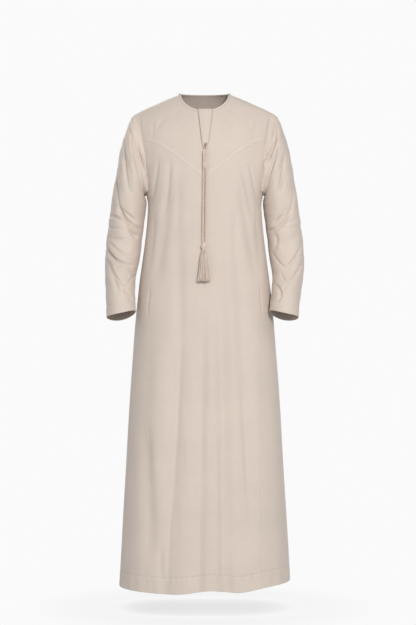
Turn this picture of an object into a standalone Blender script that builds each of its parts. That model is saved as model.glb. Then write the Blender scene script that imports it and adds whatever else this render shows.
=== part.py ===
# Collarless thobe robe, worn shape, with a hanging cord and tassel.
# Metres, +Z up, +X to the viewer's right, the front faces -Y.
# The origin lies between the two side neck points, where the wearer's shoulders carry the cloth.

import math

import bpy
import numpy as np

# Driving dimensions
CLOTH = 0.0012  # wall of the body and the sleeves
SEAM_GAP = 0.0003  # free space between two pieces that are sewn together
PANEL_HALF = 0.165  # front and back are straight strips of this half width below the arms
ARMHOLE_CORNER_Z = -0.295  # where the strip, the gore and the sleeve meet
ARMHOLE_LOW_Z = -0.305  # lowest point of the armhole, under the arm
SHOULDER_TIP_X = 0.195
NECK_HALF = 0.0765  # panel edge, under the neck binding
NECK_FRONT_DROP = 0.0615
NECK_BACK_RISE = 0.001
BINDING_HEIGHT = 0.0055
BINDING_WALL = 0.0020
SHOULDER_ROUND = 0.30  # height over which the shoulder rounds into the chest
RIDGE_Y = 0.008  # the shoulder seam lies a little behind the middle
RING_POWER = 2.4  # superellipse power of the body's sections
TOP_RING_HALF = 0.220  # the section is as wide as this from TOP_RING_Z up
TOP_RING_Z = -0.100

CLOTH_COLOUR = (0.66, 0.57, 0.49, 1.0)
CORD_COLOUR = (0.55, 0.46, 0.38, 1.0)


def table(columns, *rows):
    """Named columns from rows of numbers."""
    return dict(zip(columns.split(), np.array(rows, float).T))


# Body sections, from the hem up: half width and depth to the front and the back
BODY = table(
    "z       half   front  back",
    (-1.480, 0.2570, 0.173, 0.170),
    (-1.270, 0.2455, 0.165, 0.161),
    (-1.090, 0.2348, 0.158, 0.153),
    (-0.915, 0.2245, 0.151, 0.145),
    (-0.785, 0.2155, 0.146, 0.140),
    (-0.705, 0.2095, 0.142, 0.137),
    (-0.625, 0.2019, 0.139, 0.134),
    (-0.555, 0.1940, 0.137, 0.131),
    (-0.507, 0.1875, 0.137, 0.129),
    (-0.459, 0.1810, 0.137, 0.127),
    (-0.411, 0.1755, 0.137, 0.126),
    (-0.363, 0.1715, 0.137, 0.127),
    (-0.325, 0.1710, 0.137, 0.129),
    (-0.295, 0.1780, 0.136, 0.131),
    (-0.250, 0.1910, 0.135, 0.132),
    (-0.200, 0.2050, 0.134, 0.131),
    (-0.150, 0.2150, 0.134, 0.127),
    (-0.100, TOP_RING_HALF, 0.134, 0.122),
    (0.040, TOP_RING_HALF, 0.134, 0.118),
)

# Height of the shoulder line over the distance from the middle
SHOULDER = table(
    "x      z",
    (0.0000, 0.0240),
    (0.0350, 0.0165),
    (0.0715, 0.0000),
    (0.1050, -0.0129),
    (0.1430, -0.0297),
    (0.1860, -0.0489),
    (0.1950, -0.0535),
    (0.2200, -0.0720),
)

# Front and back edge of the armhole, as a distance from the middle
ARMHOLE = table(
    "z       x",
    (-0.2950, 0.1650),
    (-0.2700, 0.1645),
    (-0.2430, 0.1655),
    (-0.1800, 0.1730),
    (-0.1200, 0.1840),
    (-0.0840, 0.1910),
    (-0.0535, SHOULDER_TIP_X),
)

# Height of the hem edge over the side-to-side place, front and back
HEM = table(
    "x       front    back",
    (-0.2570, -1.4720, -1.4720),
    (-0.1800, -1.4740, -1.4690),
    (-0.0780, -1.4765, -1.4700),
    (-0.0200, -1.4700, -1.4660),
    (0.0160, -1.4650, -1.4670),
    (0.0550, -1.4690, -1.4700),
    (0.0980, -1.4720, -1.4660),
    (0.1800, -1.4610, -1.4600),
    (0.2570, -1.4540, -1.4540),
)

# Largest folds of the body: a soft trough along the line from top to foot, seen from the front.
# side is -1 on the front and 1 on the back, depth is negative for a ridge.
FOLDS = table(
    "side  top_x   top_z   foot_x  foot_z  width  depth",
    (-1, -0.097, -0.245, -0.148, -0.600, 0.014, 0.012),
    (-1, -0.078, -0.380, -0.072, -0.750, 0.013, 0.007),
    (-1, -0.067, -0.600, -0.112, -1.480, 0.020, 0.015),
    (-1, -0.004, -0.620, -0.020, -1.480, 0.016, 0.006),
    (-1, 0.046, -0.460, 0.064, -1.480, 0.019, 0.014),
    (-1, 0.094, -0.400, 0.146, -1.350, 0.017, 0.009),
    (-1, 0.098, -0.245, 0.164, -0.600, 0.013, 0.010),
    (-1, -0.172, -0.950, -0.158, -1.440, 0.018, 0.009),
    (-1, -0.140, -0.700, -0.150, -1.250, 0.022, -0.005),
    (-1, 0.024, -0.700, 0.024, -1.480, 0.020, -0.004),
    (1, -0.120, -0.200, -0.150, -0.650, 0.015, 0.010),
    (1, 0.115, -0.220, 0.150, -0.700, 0.015, 0.011),
    (1, -0.060, -0.450, -0.090, -1.480, 0.020, 0.014),
    (1, 0.010, -0.560, -0.006, -1.480, 0.019, 0.011),
    (1, 0.065, -0.480, 0.088, -1.480, 0.021, 0.015),
    (1, 0.150, -0.800, 0.168, -1.400, 0.018, 0.008),
    (1, -0.160, -0.850, -0.172, -1.440, 0.018, 0.009),
)

# Stations along the sleeve on the +X side: the outer line, the line under the arm, and the depth
SLEEVE = table(
    "out_x   out_z    under_x under_z  mid_y   half_y",
    (0.1950, -0.0535, 0.1765, -0.3050, 0.006, 0.080),
    (0.2127, -0.0633, 0.1790, -0.3055, 0.006, 0.086),
    (0.2250, -0.0825, 0.1798, -0.3070, 0.006, 0.088),
    (0.2370, -0.1158, 0.1788, -0.3100, 0.006, 0.088),
    (0.2510, -0.1590, 0.1768, -0.3150, 0.006, 0.086),
    (0.2632, -0.2211, 0.1750, -0.3220, 0.006, 0.082),
    (0.2752, -0.2928, 0.1752, -0.3370, 0.007, 0.077),
    (0.2848, -0.3645, 0.1795, -0.3720, 0.006, 0.073),
    (0.2940, -0.4362, 0.1875, -0.4340, 0.001, 0.069),
    (0.2978, -0.4986, 0.1942, -0.4960, -0.011, 0.066),
    (0.2965, -0.5559, 0.2050, -0.5480, -0.030, 0.062),
    (0.2930, -0.6130, 0.2065, -0.6000, -0.051, 0.058),
    (0.2904, -0.6708, 0.2030, -0.6520, -0.073, 0.055),
)
CUFF_LEAN = 0.20  # the back of the cuff hangs lower than its front by this share of its depth
CUFF_SAG = 0.006  # and both hang lower than the two ends
RIGHT_CUFF_IN = 0.012  # the cuff on the +X side is held this much closer to the body
ARMHOLE_FADE = 3.0  # stations over which the armhole's own outline turns into an ellipse
SLEEVE_ROWS = 22
ELBOW_ROW = 14

# Largest folds of a sleeve on the +X side, seen from the front or the back, as above
SLEEVE_FOLDS = table(
    "side  top_x   top_z   foot_x  foot_z  width  depth",
    (-1, 0.212, -0.110, 0.186, -0.260, 0.012, 0.007),
    (-1, 0.240, -0.170, 0.216, -0.320, 0.013, 0.006),
    (-1, 0.262, -0.335, 0.203, -0.405, 0.014, 0.007),
    (-1, 0.290, -0.420, 0.215, -0.470, 0.014, 0.005),
    (-1, 0.270, -0.510, 0.212, -0.565, 0.014, 0.005),
    (1, 0.215, -0.110, 0.188, -0.270, 0.013, 0.008),
    (1, 0.245, -0.190, 0.215, -0.320, 0.014, 0.006),
    (1, 0.285, -0.390, 0.215, -0.430, 0.014, 0.007),
    (1, 0.288, -0.500, 0.225, -0.460, 0.014, 0.005),
)

# Middle line of the tonal band on the chest, from the armhole to the middle front
BAND = table(
    "x      z",
    (0.1700, -0.1405),
    (0.1495, -0.1480),
    (0.1034, -0.1754),
    (0.0577, -0.2117),
    (0.0167, -0.2435),
    (0.0002, -0.2530),
)
BAND_HALF = 0.0070
BAND_WALL = 0.0010

# Place of the side neck point along the top of a strip, where 1 is the shoulder tip
TIP_TURN = math.degrees(math.asin(SHOULDER_TIP_X / TOP_RING_HALF) - SEAM_GAP / 2 / TOP_RING_HALF)
NECK_SHARE = math.degrees(math.asin(NECK_HALF / TOP_RING_HALF)) / TIP_TURN
NECK_COLUMN = 0.5  # this share of a strip's columns ends in the neckline
FRONT_COLUMNS = np.linspace(-1, 1, 29)
BACK_COLUMNS = np.linspace(-1, 1, 21)

# Rows up the body, from the hem to the underarm and on to the shoulder, and places across a gore.
# The sleeve's columns start on the same points, so the two sides of the armhole seam match.
LOWER_LEVELS = np.linspace(0, 1, 19)
UPPER_LEVELS = 2 - (np.linspace(1, 0, 13) + np.sin(np.linspace(1, 0, 13) * np.pi / 2)) / 2
GORE_SHARES = np.linspace(0, 1, 9)

# Placket flap and the tassel that hangs from it
FLAP_TOP_Z = -0.0550
FLAP_FOOT_Z = -0.1590
FLAP_TOP_HALF = 0.0213
FLAP_FOOT_HALF = 0.0090
FLAP_X = 0.0020
FLAP_WALL = 0.0020
FLAP_LIFT = 0.0010  # over the panel, so that it also clears the neck binding
TAIL_R = 0.0026
TAIL_LIFT = 0.0004
TAIL_TOP_Z = -0.1585  # just under the flap's lifted foot
TAIL_FOOT_Z = -0.1792
WHIP_TOP_Z = -0.1795
WHIP_FOOT_Z = -0.2346
WHIP_HALF_X = 0.0073
WHIP_HALF_Y = 0.0060
CORD_R = 0.0036
CORD_STEP = 0.0077  # between the middles of the two cords
CORD_FOOT_Z = -0.4505
KNOT_TOP_Z = -0.4508
KNOT_FOOT_Z = -0.4738
SKIRT_TOP_Z = -0.4741
SKIRT_FOOT_Z = -0.5660
SKIRT_HALF_X = 0.0215
SKIRT_HALF_Y = 0.0105
TASSEL_REST = 0.0006  # air between the cloth and what hangs on it
TASSEL_TOP_X = 0.0020
TASSEL_FOOT_X = -0.0030


def smooth(x, xs, ys):
    """Cubic curve through (xs, ys), with the slope at each point taken from its two neighbours."""
    order = np.argsort(xs)
    xs, ys = np.asarray(xs)[order], np.asarray(ys)[order]
    slopes = np.gradient(ys, xs)
    x = np.clip(x, xs[0], xs[-1])
    i = np.clip(np.searchsorted(xs, x) - 1, 0, len(xs) - 2)
    h = xs[i + 1] - xs[i]
    t = (x - xs[i]) / h
    start = (1 + 2 * t) * (1 - t) ** 2 * ys[i] + t * (1 - t) ** 2 * h * slopes[i]
    end = t * t * (3 - 2 * t) * ys[i + 1] + t * t * (t - 1) * h * slopes[i + 1]
    return start + end


def ease(t):
    """0 to 1 with no corner at either end."""
    t = np.clip(t, 0.0, 1.0)
    return t * t * (3 - 2 * t)


def half_width(z):
    return smooth(np.minimum(z, TOP_RING_Z), BODY["z"], BODY["half"])


def shoulder_height(x):
    return smooth(np.abs(x), SHOULDER["x"], SHOULDER["z"])


def armhole_x(z):
    return smooth(z, ARMHOLE["z"], ARMHOLE["x"])


def fold_depth(folds, x, z, side):
    """Sum of the folds at a place seen from the front, each a bell across its line, eased in at its ends."""
    total = np.zeros(np.broadcast(x, z, side).shape)
    for k in range(len(folds["side"])):
        run_x = folds["foot_x"][k] - folds["top_x"][k]
        run_z = folds["foot_z"][k] - folds["top_z"][k]
        length2 = run_x**2 + run_z**2
        t = ((x - folds["top_x"][k]) * run_x + (z - folds["top_z"][k]) * run_z) / length2
        near = np.clip(t, 0.0, 1.0)
        away2 = (x - folds["top_x"][k] - near * run_x) ** 2 + (z - folds["top_z"][k] - near * run_z) ** 2
        bell = np.exp(-away2 / folds["width"][k] ** 2)
        into_hem = folds["foot_z"][k] < -1.45
        fade = ease(near / 0.3) * (1.0 if into_hem else ease((1 - near) / 0.3))
        facing = np.clip(side * folds["side"][k], 0.0, 1.0)
        total = total + folds["depth"][k] * bell * fade * facing
    return total


def body_point(turn, z):
    """Point of the body's outer face. turn runs round it in degrees, 0 at the middle front, 90 at +X."""
    turn = np.radians(turn)
    sine, cosine = np.sin(turn), np.cos(turn)
    front = cosine >= 0
    x = half_width(z) * sine
    across = np.clip(1 - np.abs(sine) ** RING_POWER, 0, 1) ** (1 / RING_POWER)
    fall = np.clip((shoulder_height(x) - z) / SHOULDER_ROUND, 0, 1)
    crown = np.sqrt(1 - (1 - fall) ** 2)
    depth = np.where(front, smooth(z, BODY["z"], BODY["front"]), smooth(z, BODY["z"], BODY["back"]))
    y = RIDGE_Y + np.where(front, -1, 1) * depth * across * crown
    trough = fold_depth(FOLDS, x, z, -np.sign(cosine) * np.minimum(1, 3 * np.abs(cosine)))
    return np.stack([x - trough * sine, y + trough * cosine, z + 0 * x], axis=-1)


def hem_height(turn):
    """Height of the hem edge round the body."""
    x = BODY["half"][0] * np.sin(np.radians(turn))
    front = np.cos(np.radians(turn)) >= 0
    return np.where(front, smooth(x, HEM["x"], HEM["front"]), smooth(x, HEM["x"], HEM["back"]))


def panel_edge_turn(level, edge_z):
    """Angle of the edge of the front or back strip: straight below the arms, then the armhole."""
    x = np.where(level < 1, PANEL_HALF, armhole_x(edge_z))
    return np.degrees(np.arcsin(np.clip(x / half_width(edge_z), 0, 1)))


def panel_top(turn, back):
    """Upper edge of the strip: the shoulder seam, or the neckline between the side neck points."""
    x = TOP_RING_HALF * np.sin(np.radians(turn))
    neck = np.sqrt(np.clip(1 - (x / NECK_HALF) ** 2, 0, 1))
    neckline = neck * (NECK_BACK_RISE if back else -NECK_FRONT_DROP) + shoulder_height(NECK_HALF)
    return np.where(np.abs(x) < NECK_HALF - 1e-9, neckline, shoulder_height(x))


def top_place(column, back):
    """Place of a column along the top, closer together towards the side neck points."""
    inside = np.clip(np.abs(column) / NECK_COLUMN, 0, 1)
    neck = NECK_SHARE * np.sqrt(1 - (1 - inside**2) ** (2 if back else 4))
    beyond = (np.abs(column) - NECK_COLUMN) / (1 - NECK_COLUMN)
    shoulder = NECK_SHARE + (1 - NECK_SHARE) * beyond
    return np.sign(column) * np.where(beyond < 0, neck, shoulder)


def panel_point(column, level, back=False):
    """Strip of the front or the back. Columns run from -1 to 1, level 0 is the hem, 1 under the arms, 2 the top."""
    rise = 1 - (2 - np.clip(level, 1, 2)) ** 2
    low = np.clip(level, 0, 1)
    tip_z = shoulder_height(SHOULDER_TIP_X)
    edge_z = np.where(level < 1, -1.465 + (ARMHOLE_CORNER_Z + 1.465) * low, 0)
    edge_z = np.where(level < 1, edge_z, ARMHOLE_CORNER_Z + (tip_z - ARMHOLE_CORNER_Z) * rise)
    edge = panel_edge_turn(level, edge_z) - np.degrees(SEAM_GAP / 2 / half_width(edge_z))
    turn = edge * (column + ease(level - 1) * (top_place(column, back) - column))
    if back:
        turn = 180 - turn
    hem = hem_height(turn)
    z_low = hem + (ARMHOLE_CORNER_Z - hem) * low
    z_high = ARMHOLE_CORNER_Z + (panel_top(turn, back) - ARMHOLE_CORNER_Z) * rise
    points = body_point(turn, np.where(level < 1, z_low, z_high))
    half_seam = ease(level - 1) * SEAM_GAP / 2
    points[..., 1] += half_seam if back else -half_seam
    return points


def gore_point(g, level, sign=1):
    """Side gore: g from 0 at the front seam to 1 at the back seam, level 0 at the hem, 1 under the arm."""
    edge_z = -1.465 + (ARMHOLE_CORNER_Z + 1.465) * level
    seam = panel_edge_turn(level * 0, edge_z) + np.degrees(SEAM_GAP / 2 / half_width(edge_z))
    turn = seam + (180 - 2 * seam) * g
    top = ARMHOLE_CORNER_Z + (ARMHOLE_LOW_Z - ARMHOLE_CORNER_Z) * np.sin(np.pi * g)
    hem = hem_height(sign * turn)
    return body_point(sign * turn, hem + (top - hem) * level)


def body_normal(turn, z):
    """Unit normal of the body's outer face, pointing out."""
    around = body_point(turn + 0.02, z) - body_point(turn - 0.02, z)
    up = body_point(turn, z + 1e-5) - body_point(turn, z - 1e-5)
    normal = np.cross(around, up)
    return normal / np.linalg.norm(normal, axis=-1, keepdims=True)


def armhole_edge(sign):
    """Edge of the armhole, once round from the shoulder tip by the front: points, normals and turns."""
    rise = 1 - (2 - UPPER_LEVELS[::-1]) ** 2
    tip_z = float(shoulder_height(SHOULDER_TIP_X))
    strip_z = ARMHOLE_CORNER_Z + (tip_z - ARMHOLE_CORNER_Z) * rise
    strip_turn = np.degrees(np.arcsin(armhole_x(strip_z) / half_width(strip_z)))
    corner = strip_turn[-1]
    g = GORE_SHARES[1:-1]
    gore_turn = corner + (180 - 2 * corner) * g
    gore_z = ARMHOLE_CORNER_Z + (ARMHOLE_LOW_Z - ARMHOLE_CORNER_Z) * np.sin(np.pi * g)
    body_turn = np.concatenate([strip_turn, gore_turn, 180 - strip_turn[:0:-1]])
    z = np.concatenate([strip_z, gore_z, strip_z[:0:-1]])
    # Right at the tip the section is a ridge, so its normal is taken a little below.
    normal = body_normal(sign * body_turn, np.minimum(z, tip_z - 2e-4))
    normal[0] = (0, 0, 1)
    down = np.degrees(np.arccos(np.clip((2 * z - tip_z - ARMHOLE_LOW_Z) / (tip_z - ARMHOLE_LOW_Z), -1, 1)))
    return body_point(sign * body_turn, z), normal, np.where(body_turn > 90, 360 - down, down)


def sleeve_grid(sign, along):
    """Sleeve's outer face as rows of points: the first row is the armhole's edge, the last one the cuff."""
    edge, edge_normal, turn = armhole_edge(sign)
    last = len(SLEEVE["out_x"]) - 1
    station = (along * last)[:, None]
    at = {name: smooth(station, np.arange(last + 1), column) for name, column in SLEEVE.items()}
    cosine, sine = np.cos(np.radians(turn)), np.sin(np.radians(turn))
    x = (at["out_x"] + at["under_x"]) / 2 + cosine * (at["out_x"] - at["under_x"]) / 2
    z = (at["out_z"] + at["under_z"]) / 2 + cosine * (at["out_z"] - at["under_z"]) / 2
    y = at["mid_y"] - sine * at["half_y"]
    near_cuff = ease((station - 7) / 5)
    z = z + near_cuff * (CUFF_LEAN * sine * at["half_y"] - CUFF_SAG * sine**2)
    if sign > 0:
        x = x - RIGHT_CUFF_IN * ease((station - 9) / 3)
    grid = np.stack([sign * x, y, z], axis=-1)
    # The armhole's own outline fades out along the sleeve.
    fade = (1 - ease(station / ARMHOLE_FADE))[..., None]
    grid = grid + fade * (edge - grid[:1])
    side = -np.sign(sine) * np.minimum(1, 2 * np.abs(sine)) * ease(station)
    trough = fold_depth(SLEEVE_FOLDS, np.abs(grid[..., 0]), grid[..., 2], side)
    grid[..., 1] += trough * np.sign(sine)
    around = np.roll(grid, -1, axis=1) - np.roll(grid, 1, axis=1)
    normal = np.cross(around, np.gradient(grid, axis=0)) * sign
    normal /= np.linalg.norm(normal, axis=-1, keepdims=True)
    normal[0] = edge_normal
    # The first row steps off the body's edge, square to both of its neighbouring edge lines.
    line = np.roll(edge, -1, axis=0) - edge
    away = np.cross(edge_normal, line / np.linalg.norm(line, axis=-1, keepdims=True)) * sign
    away /= np.linalg.norm(away, axis=-1, keepdims=True)
    before = np.roll(away, 1, axis=0)
    step = (away + before) / (1 + (away * before).sum(-1, keepdims=True)).clip(0.3)
    grid[0] += step * SEAM_GAP * 1.2
    return grid, normal


def normals_of(surface, a, b, flip=1):
    """Unit normals of surface(a, b) from small steps that stay inside the grid."""
    step_a, step_b = np.ptp(a) * 1e-4, np.ptp(b) * 1e-4
    a0, a1 = np.clip(a - step_a, a.min(), a.max()), np.clip(a + step_a, a.min(), a.max())
    b0, b1 = np.clip(b - step_b, b.min(), b.max()), np.clip(b + step_b, b.min(), b.max())
    normal = np.cross(surface(a1, b) - surface(a0, b), surface(a, b1) - surface(a, b0)) * flip
    return normal / np.linalg.norm(normal, axis=-1, keepdims=True)


def material(name, colour, roughness):
    made = bpy.data.materials.get(name) or bpy.data.materials.new(name)
    made.use_nodes = True
    shader = made.node_tree.nodes["Principled BSDF"]
    shader.inputs["Base Color"].default_value = colour
    shader.inputs["Roughness"].default_value = roughness
    shader.inputs["Metallic"].default_value = 0.0
    return made


def add_object(name, points, faces, finish):
    mesh = bpy.data.meshes.new(name)
    mesh.from_pydata([tuple(p) for p in points], [], [tuple(int(i) for i in f) for f in faces])
    mesh.materials.append(finish)
    made = bpy.data.objects.new(name, mesh)
    bpy.context.scene.collection.objects.link(made)
    return made


def grid_faces(rows, columns, closed, first=0, turned=False):
    """Quads of a grid of points, row by row. turned makes them face the other way."""
    faces = []
    for i in range(rows - 1):
        for j in range(columns if closed else columns - 1):
            k = (j + 1) % columns
            quad = [i * columns + j, i * columns + k, (i + 1) * columns + k, (i + 1) * columns + j]
            faces.append([first + corner for corner in (quad[::-1] if turned else quad)])
    return faces


def wall(name, outer, inner, finish, closed=False, turned=False):
    """Closed solid between two grids of points, with its edges filled in."""
    rows, columns = outer.shape[:2]
    count = rows * columns
    faces = grid_faces(rows, columns, closed, 0, turned)
    faces += grid_faces(rows, columns, closed, count, not turned)
    top = (rows - 1) * columns
    rim = []
    for j in range(columns if closed else columns - 1):
        k = (j + 1) % columns
        rim.append([j, count + j, count + k, k])
        rim.append([top + k, count + top + k, count + top + j, top + j])
    if not closed:
        for i in range(rows - 1):
            low, high = i * columns, (i + 1) * columns
            rim.append([high, count + high, count + low, low])
            low, high = low + columns - 1, high + columns - 1
            rim.append([low, count + low, count + high, high])
    faces += [face[::-1] for face in rim] if turned else rim
    return add_object(name, np.concatenate([outer.reshape(-1, 3), inner.reshape(-1, 3)]), faces, finish)


def surface_faces(surface, a, b, thickness, lift=0.0, flip=1):
    """Outer and inner points of a wall over surface(a, b), b along the rows, its outer face lifted."""
    aa, bb = np.meshgrid(a, b)
    normal = normals_of(surface, aa, bb, flip)
    outer = surface(aa, bb) + normal * lift
    return outer, outer - normal * thickness


def surface_wall(name, surface, a, b, thickness, finish, lift=0.0, flip=1):
    """Wall over surface(a, b)."""
    outer, inner = surface_faces(surface, a, b, thickness, lift, flip)
    return wall(name, outer, inner, finish, turned=flip < 0)


def loft(name, rings, finish):
    """Closed solid through rings of points, with flat ends. The rings run downwards."""
    rings = np.asarray(rings)
    rows, columns = rings.shape[:2]
    faces = grid_faces(rows, columns, True, 0, True)
    faces.append(list(range(columns)))
    faces.append(list(range((rows - 1) * columns, rows * columns))[::-1])
    return add_object(name, rings.reshape(-1, 3), faces, finish)


def strip_faces(back=False):
    """Outer and inner points of the front or the back strip."""
    levels = np.concatenate([LOWER_LEVELS, UPPER_LEVELS[1:]])
    columns = BACK_COLUMNS if back else FRONT_COLUMNS
    return surface_faces(lambda s, v: panel_point(s, v, back), columns, levels, CLOTH, flip=-1 if back else 1)


def make_panels(cloth):
    wall("front_panel", *strip_faces(), cloth)
    wall("back_panel", *strip_faces(True), cloth, turned=True)
    for side, sign in (("left", -1), ("right", 1)):

        def gore(g, v, sign=sign):
            return gore_point(g, v, sign)

        surface_wall(f"side_gore_{side}", gore, GORE_SHARES, LOWER_LEVELS, CLOTH, cloth, flip=sign)


def draw_in(points, edges=((0, 1), (-1, -2))):
    """Moves the first and the last column of a grid inwards by half a seam's gap."""
    moved = points.copy()
    for edge, inside in edges:
        step = points[:, inside] - points[:, edge]
        moved[:, edge] += step / np.linalg.norm(step, axis=-1, keepdims=True) * SEAM_GAP / 2
    return moved


def cut_at_elbow(points, upper):
    """Rows above or below the elbow, the row at the cut drawn in."""
    rows = points[: ELBOW_ROW + 1] if upper else points[ELBOW_ROW:]
    edge = (-1, -2) if upper else (0, 1)
    return draw_in(rows.swapaxes(0, 1), (edge,)).swapaxes(0, 1)


def make_sleeves(cloth):
    """Each sleeve in four pieces, cut along its outer line, along the line under the arm and at the elbow."""
    along = np.linspace(0, 1, SLEEVE_ROWS) ** 1.1
    for side, sign in (("left", -1), ("right", 1)):
        outer, normal = sleeve_grid(sign, along)
        inner = outer - normal * CLOTH
        columns = outer.shape[1]
        under = columns // 2
        for half, first, last in (("front", 0, under), ("back", under, columns)):
            pick = np.arange(first, last + 1) % columns
            whole = draw_in(outer[:, pick]), draw_in(inner[:, pick])
            for part in ("upper", "lower"):
                faces = [cut_at_elbow(face, part == "upper") for face in whole]
                wall(f"sleeve_{half}_{part}_{side}", *faces, cloth, turned=sign < 0)


def neckline():
    """Panels' neck edge, once round: its points and the wall's direction at each."""
    points, normals = [], []
    for back, columns, order in ((False, FRONT_COLUMNS, 1), (True, BACK_COLUMNS, -1)):
        outer, inner = strip_faces(back)
        at_neck = np.abs(columns) <= NECK_COLUMN + 1e-9
        points.append(outer[-1][at_neck][::order])
        normals.append(((outer[-1] - inner[-1]) / CLOTH)[at_neck][::order])
    # The two side neck points are on both panels.
    for front_end, back_end in ((-1, 0), (0, -1)):
        for rows in (points, normals):
            rows[0][front_end] = (rows[0][front_end] + rows[1][back_end]) / 2
    return np.concatenate([points[0], points[1][1:-1]]), np.concatenate([normals[0], normals[1][1:-1]])


def make_binding(cloth):
    points, normal = neckline()
    line = np.roll(points, -1, axis=0) - points
    away = np.cross(normal, line)
    away /= np.linalg.norm(away, axis=-1, keepdims=True)
    before = np.roll(np.cross(np.roll(normal, -1, axis=0), line), 1, axis=0)
    before /= np.linalg.norm(before, axis=-1, keepdims=True)
    away = (away + before) / (1 + (away * before).sum(-1, keepdims=True))
    foot = points + away * SEAM_GAP * 1.3
    # It carries on along the cloth, and at the sides it turns up a little.
    side = (np.abs(points[:, :1]) / NECK_HALF) ** 2
    rise = away + side * (normal * 0.25 + (0, 0, 0.35))
    rise *= np.linalg.norm(away, axis=-1, keepdims=True) / np.linalg.norm(rise, axis=-1, keepdims=True)
    top = foot + rise * BINDING_HEIGHT
    along = np.roll(top, -1, axis=0) - np.roll(top, 1, axis=0)
    face = np.cross(along, rise)
    face /= np.linalg.norm(face, axis=-1, keepdims=True)
    inner = np.stack([foot - normal * BINDING_WALL, top - face * BINDING_WALL])
    wall("neck_binding", np.stack([foot, top]), inner, cloth, closed=True)


def front_point(x, z):
    """Point of the front at a place seen from the front."""
    return body_point(np.degrees(np.arcsin(np.clip(x / half_width(z), -1, 1))), z)


def make_chest_bands(trim):
    share = np.linspace(0, 1, 15)
    knots = np.linspace(0, 1, len(BAND["x"]))
    for side, sign in (("left", -1), ("right", 1)):

        def band(u, w, sign=sign):
            x, z = smooth(w, knots, BAND["x"]), smooth(w, knots, BAND["z"])
            return front_point(sign * x, z + u * BAND_HALF)

        surface_wall(
            f"chest_band_{side}",
            band,
            np.linspace(-1, 1, 3),
            share,
            BAND_WALL,
            trim,
            lift=SEAM_GAP + BAND_WALL,
            flip=-sign * -1,
        )


def make_flap(cloth):
    def flap(u, w):
        half = FLAP_TOP_HALF + (FLAP_FOOT_HALF - FLAP_TOP_HALF) * w
        return front_point(FLAP_X * w + u * half, FLAP_TOP_Z + (FLAP_FOOT_Z - FLAP_TOP_Z) * w)

    surface_wall(
        "placket_flap",
        flap,
        np.linspace(-1, 1, 5),
        np.linspace(0, 1, 9),
        FLAP_WALL,
        cloth,
        lift=FLAP_LIFT + FLAP_WALL,
        flip=-1,
    )


def tassel_line(z):
    """Where the tassel's back rests: it follows the chest outwards and then hangs straight down."""
    levels = np.linspace(-0.15, -0.58, 87)
    cloth_y = front_point(np.zeros(len(levels)), levels)[:, 1] - SEAM_GAP - BAND_WALL
    rest = np.minimum.accumulate(cloth_y) - TASSEL_REST
    x = TASSEL_TOP_X + (TASSEL_FOOT_X - TASSEL_TOP_X) * (WHIP_TOP_Z - z) / (WHIP_TOP_Z - SKIRT_FOOT_Z)
    return x, np.interp(-np.asarray(z), -levels, rest)


def tassel_rings(profile, sides):
    """Rings of an upright piece of the tassel. profile has rows of height, half width and half depth."""
    turn = np.linspace(0, 2 * np.pi, sides, endpoint=False)
    rings = []
    for z, half_x, half_y in profile:
        x, back = tassel_line(z)
        deepest = max(row[2] for row in profile)
        ring_x, ring_y = x + half_x * np.cos(turn), back - deepest + half_y * np.sin(turn)
        rings.append(np.stack([ring_x, ring_y, np.full(sides, z)], axis=-1))
    return rings


def make_cord(name, path, radius, finish, resolution=2):
    curve = bpy.data.curves.new(name, "CURVE")
    curve.dimensions = "3D"
    curve.bevel_depth = radius
    curve.bevel_resolution = resolution
    curve.use_fill_caps = True
    spline = curve.splines.new("POLY")
    spline.points.add(len(path) - 1)
    for point, place in zip(spline.points, path):
        point.co = (*place, 1.0)
    curve.materials.append(finish)
    made = bpy.data.objects.new(name, curve)
    bpy.context.scene.collection.objects.link(made)
    return made


def make_tails(trim):
    """The two tails below the flap, which lean together and run into the whipping side by side."""
    share = np.linspace(0, 1, 7)
    z = TAIL_TOP_Z + (TAIL_FOOT_Z - TAIL_TOP_Z) * share
    x, back = tassel_line(z)
    middle_x = FLAP_X + (x[-1] - FLAP_X) * share
    foot_spread = TAIL_R + SEAM_GAP / 2
    spread = foot_spread + (FLAP_FOOT_HALF - TAIL_R - foot_spread) * (1 - ease(share * 1.15))
    for side, sign in (("left", -1), ("right", 1)):
        path = np.stack([middle_x + sign * spread, back - TAIL_R - TAIL_LIFT, z], axis=-1)
        make_cord(f"tassel_tail_{side}", path, TAIL_R, trim)


def make_whipping(trim):
    middle = (WHIP_TOP_Z + WHIP_FOOT_Z) / 2
    profile = (
        (WHIP_TOP_Z, 0.0046, 0.0040),
        (WHIP_TOP_Z - 0.0030, WHIP_HALF_X, WHIP_HALF_Y),
        (middle, WHIP_HALF_X * 0.97, WHIP_HALF_Y),
        (WHIP_FOOT_Z + 0.0030, WHIP_HALF_X, WHIP_HALF_Y),
        (WHIP_FOOT_Z, 0.0062, 0.0050),
    )
    loft("tassel_whipping", tassel_rings(profile, 14), trim)


def make_tassel_cords(trim):
    z = np.linspace(WHIP_FOOT_Z - SEAM_GAP, CORD_FOOT_Z, 13)
    x, back = tassel_line(z)
    bow = 0.0003 * np.sin(np.pi * np.linspace(0, 1, len(z)))
    for side, sign in (("left", -1), ("right", 1)):
        path = np.stack([x + sign * (CORD_STEP / 2 + bow), back - WHIP_HALF_Y + 0 * x, z], axis=-1)
        make_cord(f"tassel_cord_{side}", path, CORD_R, trim)


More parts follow.
